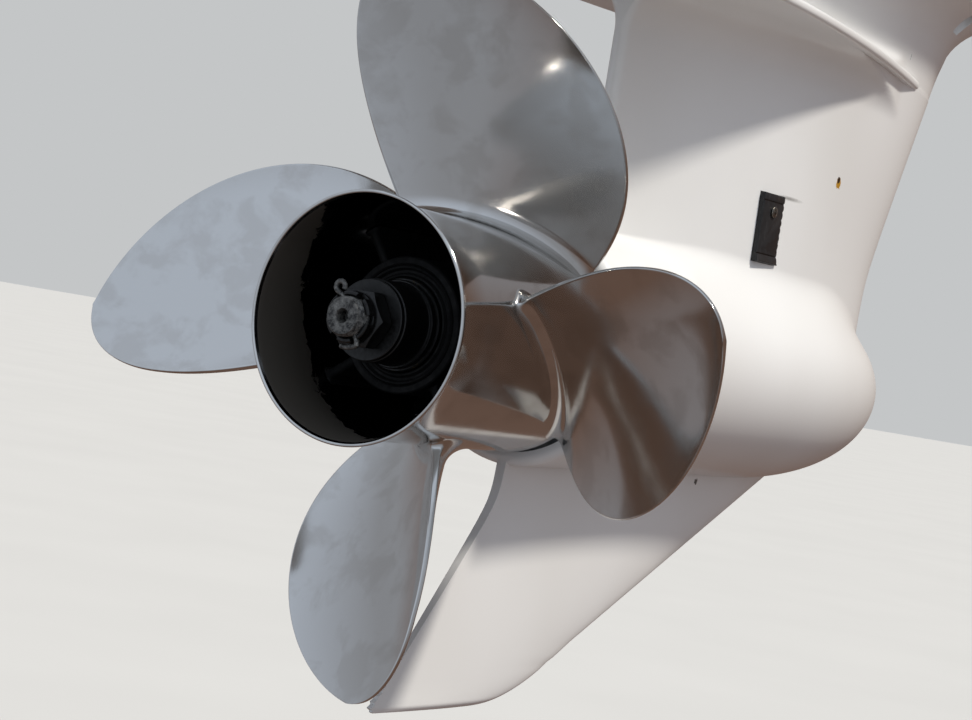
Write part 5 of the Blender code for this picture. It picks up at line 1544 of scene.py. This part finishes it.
class PlugsOperator(bpy.types.Operator):
    """Builds the slotted oil plugs and their gaskets"""
    bl_idname = "gearcase.plugs"
    bl_label = "Oil plugs"

    def execute(self, context):
        for name in ("drain_plug", "level_plug"):
            low, high = box_of(name)
            centre = ((low + high) / 2.0)[1:]
            outer = low[0]
            seat = high[0]
            gasket = seat - GASKET_THICKNESS
            foot = gasket - SEAT_GAP / 3.0
            body = ((0.0, outer), (PLUG_RADIUS - 2.0 * PLUG_EDGE, outer),
                    (PLUG_RADIUS - 0.3 * PLUG_EDGE, outer + 0.5 * PLUG_EDGE),
                    (PLUG_RADIUS, outer + 1.6 * PLUG_EDGE), (PLUG_RADIUS, foot), (0.0, foot))
            plug = add_object("slotted_" + name, mesh_of(name, turned(body, 64, centre, "X")))
            slot = block((outer - 0.002, centre[0] - PLUG_SLOT_REACH, centre[1] - PLUG_SLOT_HALF_WIDTH),
                         (outer + PLUG_SLOT_DEPTH, centre[0] + PLUG_SLOT_REACH,
                          centre[1] + PLUG_SLOT_HALF_WIDTH))
            combined(plug, [slot], "DIFFERENCE")
            finished(plug, "plain_stainless", STATIC, (name,))
            ring = bevelled_tube(PLUG_RADIUS + PLUG_EDGE, GASKET_BORE_RADIUS, gasket, seat, 0.0003)
            piece_of(name + "_gasket", turned(ring, 64, centre, "X"), "rubber", STATIC)
        return {"FINISHED"}


ANODE_SQUARENESS = 0.38
ANODE_WASTE = 0.0030
ANODE_PIT_SIZE = 0.012


def wasted(mesh, depth, size):
    """Eats a mesh's surface away by an uneven depth, least at its top face."""
    middle = sum((vert.co for vert in mesh.vertices), Vector()) / len(mesh.vertices)
    top = max(vert.co.z for vert in mesh.vertices)
    for vert, normal in [(vert, vert.normal.copy()) for vert in mesh.vertices]:
        rough = turbulence(vert.co / size, 4, False) * 0.5 + 0.5
        share = min(1.0, (top - vert.co.z) / 0.002)
        inward = (middle - vert.co).normalized() * 0.5 - normal * 0.5
        vert.co += inward * depth * min(1.0, max(0.0, rough)) * share


class AnodeOperator(bpy.types.Operator):
    """Builds the half-eaten anode under the plate and the bolt that holds it"""
    bl_idname = "gearcase.anode"
    bl_label = "Anode"

    def execute(self, context):
        low, high = box_of("plate_anode")
        top = high[2]
        bottom = low[2]
        centre = (low[1] + high[1]) / 2.0
        half_width = high[0]
        half_length = (high[1] - low[1]) / 2.0
        chamfer = (top - bottom) / 3.0
        levels = [(top, 0.0)] + [(mix(top, bottom + chamfer, step / 8.0), 0.0) for step in range(1, 9)]
        levels += [(bottom + chamfer * (1.0 - math.sin(turn)), chamfer * (1.0 - math.cos(turn)))
                   for turn in np.radians(np.linspace(15.0, 90.0, 6))]
        rings = []
        turns = 2.0 * math.pi * (np.arange(120) + 0.5) / 120
        for height, inset in levels:
            x = (half_width - inset) * np.sign(np.cos(turns)) * np.abs(np.cos(turns)) ** ANODE_SQUARENESS
            y = (half_length - inset) * np.sign(np.sin(turns)) * np.abs(np.sin(turns)) ** ANODE_SQUARENESS
            rings.append(np.stack([x, centre + y, np.full(len(x), height)], axis=-1))
        flat = rings[-1]
        middle = np.array((0.0, centre, bottom))
        rings += [middle + (flat - middle) * share for share in np.linspace(0.94, 0.02, 26)]
        mesh = mesh_of("eaten_anode", capped(rings))
        wasted(mesh, ANODE_WASTE, ANODE_PIT_SIZE)
        finished(add_object("eaten_anode", mesh), "zinc", STATIC, ("plate_anode",), 60.0)

        low, high = box_of("anode_bolt")
        across_flats = high[1] - low[1]
        bolt = hexagon("anode_hex_bolt", across_flats, low[2], high[2] - 0.0010, (0.0, centre), "Z")
        washer = plain_rod(across_flats * 0.58, high[2] - 0.0012, high[2])
        combined(bolt, [turned(washer, 64, (0.0, centre), "Z")], "UNION")
        edge_broken(bolt, BOLT_EDGE)
        finished(bolt, "plain_stainless", STATIC, ("anode_bolt",))
        return {"FINISHED"}


# Bearing carrier and seal

CARRIER_RIM = 0.0055
CARRIER_BOSS_RADIUS = 0.030
CARRIER_BORE_RADIUS = 0.0225
CARRIER_WINDOWS = 4
CARRIER_SPOKE = 0.009
RUNNING_GAP = 0.0005


def carrier_window(index, start, end):
    """An opening between two spokes, with its corners left for the edge rounding."""
    outer = CAVITY_RADIUS - SEAT_GAP - CARRIER_RIM
    first = 2.0 * math.pi * index / CARRIER_WINDOWS
    last = first + 2.0 * math.pi / CARRIER_WINDOWS
    ring = []
    for radius, order in ((outer, 1), (CARRIER_BOSS_RADIUS, -1)):
        trim = CARRIER_SPOKE / 2.0 / radius
        for step in range(19)[::order]:
            angle = mix(first + trim, last - trim, step / 18.0)
            ring.append((radius * math.cos(angle), radius * math.sin(angle)))
    return capped(np.array([[(x, station, z) for x, z in ring] for station in (start, end)]))


class CarrierOperator(bpy.types.Operator):
    """Builds the spoked bearing carrier in the torpedo's aft end, and the shaft's oil seal"""
    bl_idname = "gearcase.carrier"
    bl_label = "Bearing carrier"

    def execute(self, context):
        low, high = box_of("bearing_carrier")
        carrier = add_object("spoked_carrier", mesh_of("spoked_carrier", turned(
            bevelled_tube(CAVITY_RADIUS - SEAT_GAP, CARRIER_BORE_RADIUS, low[1], high[1], 0.0006), 120)))
        combined(carrier, [carrier_window(index, low[1] - 0.005, high[1] + 0.005)
                           for index in range(CARRIER_WINDOWS)], "DIFFERENCE")
        edge_broken(carrier, 0.0006, 3)
        finished(carrier, "cast_aluminium", STATIC, ("bearing_carrier",))

        low, high = box_of("shaft_seal")
        outer = high[0]
        inner = SHAFT_RADIUS + RUNNING_GAP
        lip = mix(inner, outer, 0.45)
        seal = ((outer - 0.0005, low[1]), (outer, low[1] + 0.0005), (outer, high[1]), (inner, high[1]),
                (inner, low[1] + 0.0030), (inner + 0.0008, low[1] + 0.0012), (lip, low[1] + 0.0022),
                (lip + 0.0010, low[1] + 0.0003), (lip + 0.0014, low[1]))
        piece_of("lip_seal", turned(seal, 96), "rubber", STATIC, ("shaft_seal",))
        return {"FINISHED"}


# What stands on the flange

SPLINE_COUNT = 12
SPLINE_LENGTH = 0.030
SPLINE_DEPTH = 0.0012
STUD_PITCH = 0.00125
STUD_THREAD_DEPTH = 0.0006
PUMP_RIBS = 14
PUMP_BOLTS = 7
PUMP_BOLT_FLATS = 0.0060
PUMP_BOLT_HEIGHT = 0.0036
SPOUT_BORE_SHARE = 0.58


class PumpOperator(bpy.types.Operator):
    """Builds the water pump with its base plate, bolts and grommet"""
    bl_idname = "gearcase.pump"
    bl_label = "Water pump"

    def execute(self, context):
        bore = DRIVE_SHAFT_RADIUS + SEAT_GAP
        low, high = box_of("pump_base_plate")
        wear_plate = turned(bevelled_tube(high[0], bore, low[2], high[2], 0.0004), 120, PUMP_CENTRE, "Z")
        piece_of("pump_wear_plate", wear_plate, "plain_stainless", STATIC, ("pump_base_plate",))

        low, high = box_of("water_pump_housing")
        base = low[2]
        top = high[2]
        outer = high[0]
        foot = base + 0.0055
        wall = outer - 0.0085
        profile = [(outer - 0.0006, base), (outer, base + 0.0006), (outer, foot - 0.0008),
                   (outer - 0.0008, foot), (wall + 0.002, foot), (wall + 0.0004, foot + 0.0006),
                   (wall, foot + 0.002), (wall - 0.0015, top - 0.012)]
        profile += [(wall - 0.0135 + 0.012 * math.cos(turn), top - 0.012 + 0.009 * math.sin(turn))
                    for turn in np.radians(np.linspace(10.0, 90.0, 9))]
        profile += [(bore + 0.0050, top - 0.003), (bore + 0.0042, top - 0.0022),
                    (bore + 0.0040, top - 0.0005), (bore + 0.0035, top),
                    (bore + 0.0005, top), (bore, top - 0.0005), (bore, base)]
        housing = add_object("pump_cup", mesh_of("pump_cup", turned(profile, 120, PUMP_CENTRE, "Z")))
        low, high = box_of("water_tube_grommet")
        spout = ((low[0] + high[0]) / 2.0, PUMP_STATION)
        reach = (high[0] - low[0]) / 2.0
        bore = reach * SPOUT_BORE_SHARE
        socket = ((0.0, foot + 0.004), (reach, foot + 0.004), (reach, top - TURNED_EDGE),
                  (reach - TURNED_EDGE, top), (0.0, top))
        combined(housing, [turned(socket, 48, spout, "Z")], "UNION")
        combined(housing, [turned(plain_rod(bore, foot + 0.008, top + 0.002), 40, spout, "Z")], "DIFFERENCE")
        finished(housing, "black_plastic", STATIC, ("water_pump_housing",))

        fin = block((-0.0012, -0.0011, foot - 0.0002), (0.0052, 0.0011, top - 0.013))
        head = turned(corner_trim(PUMP_BOLT_FLATS, foot, foot + PUMP_BOLT_HEIGHT), 6, (0.0, 0.0), "Z")
        middle = tuple(DATUM + np.array((0.0, PUMP_STATION, 0.0)))
        for name, shape, slot, count, radius in (
                ("pump_ribs", fin, "black_plastic", PUMP_RIBS, wall - 0.0012),
                ("pump_bolts", head, "plain_stainless", PUMP_BOLTS, outer - 0.0038)):
            ring = repeated(name, ring_tree(), shape, slot, Count=count, Radius=radius, Centre=middle)
            finished(ring, slot, STATIC)

        base = low[2]
        top = high[2]
        grommet = ((reach - 0.0008, base), (reach, base + 0.0008), (reach, base + 0.0022),
                   (reach - 0.0012, base + 0.0030), (reach - 0.0012, top - 0.0026), (reach, top - 0.0018),
                   (reach, top - 0.0008), (reach - 0.0008, top), (bore + 0.0008, top), (bore, top - 0.0008),
                   (bore, base))
        piece_of("tube_grommet", turned(grommet, 64, spout, "Z"), "rubber", STATIC, ("water_tube_grommet",))
        return {"FINISHED"}


def splined_ring(height, depth):
    """One level ring of the drive shaft, with flat-topped teeth where depth is more than nothing."""
    turns = 2.0 * math.pi * np.arange(SPLINE_COUNT * 12) / (SPLINE_COUNT * 12)
    wave = np.clip(0.5 - 1.3 * np.cos(turns * SPLINE_COUNT), 0.0, 1.0)
    return ring_round("Z", PUMP_CENTRE, turns, DRIVE_SHAFT_RADIUS - depth * wave, height)


class FlangeTopOperator(bpy.types.Operator):
    """Builds the drive shaft, the shift rod, the studs and the dowels that stand on the flange"""
    bl_idname = "gearcase.flange_top"
    bl_label = "Shafts, studs and dowels"

    def execute(self, context):
        low, high = box_of("drive_shaft")
        top = high[2]
        start = top - SPLINE_LENGTH
        rings = [splined_ring(low[2], 0.0), splined_ring(start, 0.0)]
        for step in range(1, 7):
            share = step / 6.0
            rings.append(splined_ring(start + 0.004 * share, SPLINE_DEPTH * math.sin(0.5 * math.pi * share)))
        rings.append(splined_ring(top - 0.0015, SPLINE_DEPTH))
        chamfer = splined_ring(top, SPLINE_DEPTH)
        middle = np.array((0.0, PUMP_STATION, top))
        rings.append(middle + (chamfer - middle) * 0.86)
        piece_of("splined_shaft", capped(rings), "plain_stainless", STATIC, ("drive_shaft",), 30.0)

        low, high = box_of("shift_rod")
        radius = high[0]
        neck = radius - 0.0008
        top = high[2]
        profile = ((0.0, low[2]), (radius, low[2]), (radius, top - 0.016), (neck, top - 0.0152),
                   (neck, top - 0.0128), (radius, top - 0.012), (radius, top - 0.0008), (neck, top),
                   (0.0, top))
        rod = turned(profile, 48, (0.0, SHIFT_ROD_STATION), "Z")
        piece_of("shift_rod_end", rod, "plain_stainless", STATIC, ("shift_rod",))

        for kind, name, shape_of in (("flange_stud", "threaded_studs", self.stud),
                                     ("flange_dowel", "hollow_dowels", self.dowel)):
            nodes = sorted(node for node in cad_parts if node.startswith(kind))
            boxes = [box_of(node) for node in nodes]
            places = [((a[0] + b[0]) / 2.0, (a[1] + b[1]) / 2.0, a[2]) for a, b in boxes]
            low, high = boxes[0]
            shape = shape_of((high[1] - low[1]) / 2.0, high[2] - low[2])
            group = repeated(name, places_tree(), shape, "plain_stainless", places)
            finished(group, "plain_stainless", STATIC, nodes)
        return {"FINISHED"}

    def stud(self, radius, length):
        return threaded(radius, STUD_THREAD_DEPTH, STUD_PITCH, length, length * 0.42, 0.0, "Z", 32)

    def dowel(self, radius, length):
        return turned(bevelled_tube(radius, radius * 0.62, 0.0, length, 0.0007), 48, (0.0, 0.0), "Z")


# Stage

LENS = 90.74
SENSOR = 36.0
EYE = (0.6831, -0.9525, 0.0038)
EYE_RIGHT = (0.83211, 0.53132, 0.15905)
EYE_DOWN = (0.14046, 0.07553, -0.9872)
EYE_AHEAD = (-0.53653, 0.8438, -0.01178)
FLOOR_PATCH_TONE = 0.97
FLOOR_ROUGHNESS = 0.9


def floor_paint(colour):
    """Pale matt floor paint, a trace darker in wide patches."""
    material, tree, shader, place = blank_material("studio_floor")
    share = add_node(tree, "ShaderNodeMapRange", (clouds(tree, place, 0.5, 2.0), 0.3, 0.7)).outputs[0]
    tone = add_node(tree, "ShaderNodeMix", {
        0: share, 6: tuple(colour) + (1.0,), 7: [part * FLOOR_PATCH_TONE for part in colour] + [1.0]},
        data_type="RGBA")
    feed(tree, shader, {"Base Color": tone.outputs[2], "Roughness": FLOOR_ROUGHNESS})
    return material


KEY_SIDE = Vector((0.534, 0.196, 0.822))
TILT = math.radians(40.0)
CEILINGWARD = (0.0, -math.sin(TILT), math.cos(TILT))
DOME_BASE = "#6F594E"
KEY_COLOUR = "#FFF8EE"
FLOOR_REACH = 40.0
DOME = (
    ((-0.50, 0.00), "#9A9DA3"),
    ((0.15, 0.80), "#C6D0DE"),
)


def surround(studio):
    """A plain soft dome: a warm lower half that blends into grey sides and a pale, cool top.

    The motor is trimmed up, so the dome is tilted in the part's frame. Each pair in DOME is where its colour
    starts and where it is full, as the height on a sphere. The camera itself sees a plain backdrop.
    """
    world = bpy.data.worlds.new("studio_surround")
    world.use_nodes = True
    tree = world.node_tree
    way = add_node(tree, "ShaderNodeTexCoord").outputs["Generated"]
    rise = add_node(tree, "ShaderNodeVectorMath", (way, CEILINGWARD),
                    operation="DOT_PRODUCT").outputs["Value"]
    colour = linear(DOME_BASE)
    for limits, tint in DOME:
        share = add_node(tree, "ShaderNodeMapRange", (rise,) + limits).outputs[0]
        colour = add_node(tree, "ShaderNodeMix", {0: share, 6: colour, 7: linear(tint)},
                          data_type="RGBA").outputs[2]
    all_round = add_node(tree, "ShaderNodeBackground", {
        "Color": colour, "Strength": studio.surround_strength})
    plain = add_node(tree, "ShaderNodeBackground", {"Color": tuple(studio.backdrop_colour) + (1.0,)})
    seen = add_node(tree, "ShaderNodeLightPath").outputs["Is Camera Ray"]
    both = add_node(tree, "ShaderNodeMixShader", {0: seen, 1: all_round.outputs[0], 2: plain.outputs[0]})
    tree.links.new(both.outputs[0], tree.nodes["World Output"].inputs["Surface"])
    return world


class StageOperator(bpy.types.Operator):
    """Sets up the floor, the key lamp, the light all round and the camera"""
    bl_idname = "gearcase.stage"
    bl_label = "Stage"

    def execute(self, context):
        studio = context.scene.studio_settings
        low = context.scene.gearcase_sizes.skeg_bottom - studio.floor_drop
        reach = FLOOR_REACH
        corners = ((-reach, -reach, low), (reach, -reach, low), (reach, reach, low), (-reach, reach, low))
        floor = add_object("studio_floor", mesh_of("studio_floor", (corners, [(0, 1, 2, 3)])))
        floor.data.materials.append(floor_paint(studio.floor_colour))
        floor.visible_glossy = floor.visible_diffuse = False

        data = bpy.data.lights.new("key", "SUN")
        data.energy = studio.key_strength
        data.angle = studio.key_softness
        data.color = linear(KEY_COLOUR)[:3]
        key = bpy.data.objects.new("key", data)
        key.rotation_mode = "QUATERNION"
        key.rotation_quaternion = KEY_SIDE.to_track_quat("Z", "Y")
        context.scene.collection.objects.link(key)
        context.scene.world = surround(studio)
        context.scene.view_settings.view_transform = "Standard"

        data = bpy.data.cameras.new("camera")
        data.sensor_width = SENSOR
        data.lens = LENS
        camera = bpy.data.objects.new("camera", data)
        turn = Matrix((EYE_RIGHT, [-part for part in EYE_DOWN], [-part for part in EYE_AHEAD])).transposed()
        camera.matrix_world = Matrix.Translation(Vector(DATUM) + Vector(EYE)) @ turn.to_4x4()
        context.scene.collection.objects.link(camera)
        context.scene.camera = camera
        return {"FINISHED"}


class GearcasePanel(bpy.types.Panel):
    """Lists the sizes and the steps"""
    bl_idname = "VIEW3D_PT_gearcase"
    bl_label = "Gearcase and propeller"
    bl_space_type = "VIEW_3D"
    bl_region_type = "UI"
    bl_category = "Gearcase"

    def draw(self, context):
        for name in GROUPS:
            settings = getattr(context.scene, name)
            box = self.layout.box()
            for field in settings.__annotations__:
                box.prop(settings, field)
        for operator in OPERATORS:
            self.layout.operator(operator.bl_idname)


GROUPS = {
    "gearcase_sizes": GearcaseSizes,
    "propeller_sizes": PropellerSizes,
    "studio_settings": StudioSettings,
}
OPERATORS = (CastingOperator, PropellerOperator, HubOperator, ShaftOperator, ScreensOperator, PlugsOperator,
             AnodeOperator, CarrierOperator, PumpOperator, FlangeTopOperator, StageOperator)


def register():
    for group in GROUPS.values():
        bpy.utils.register_class(group)
    for operator in OPERATORS:
        bpy.utils.register_class(operator)
    bpy.utils.register_class(GearcasePanel)
    for name, group in GROUPS.items():
        setattr(bpy.types.Scene, name, PointerProperty(type=group))


def unregister():
    for name in GROUPS:
        delattr(bpy.types.Scene, name)
    bpy.utils.unregister_class(GearcasePanel)
    for operator in reversed(OPERATORS):
        bpy.utils.unregister_class(operator)
    for group in GROUPS.values():
        bpy.utils.unregister_class(group)


def main():
    register()
    bpy.ops.gearcase.casting()
    bpy.ops.gearcase.propeller()
    bpy.ops.gearcase.hub()
    bpy.ops.gearcase.shaft()
    bpy.ops.gearcase.screens()
    bpy.ops.gearcase.plugs()
    bpy.ops.gearcase.anode()
    bpy.ops.gearcase.carrier()
    bpy.ops.gearcase.pump()
    bpy.ops.gearcase.flange_top()
    bpy.ops.gearcase.stage()


if __name__ == "__main__":
    main()
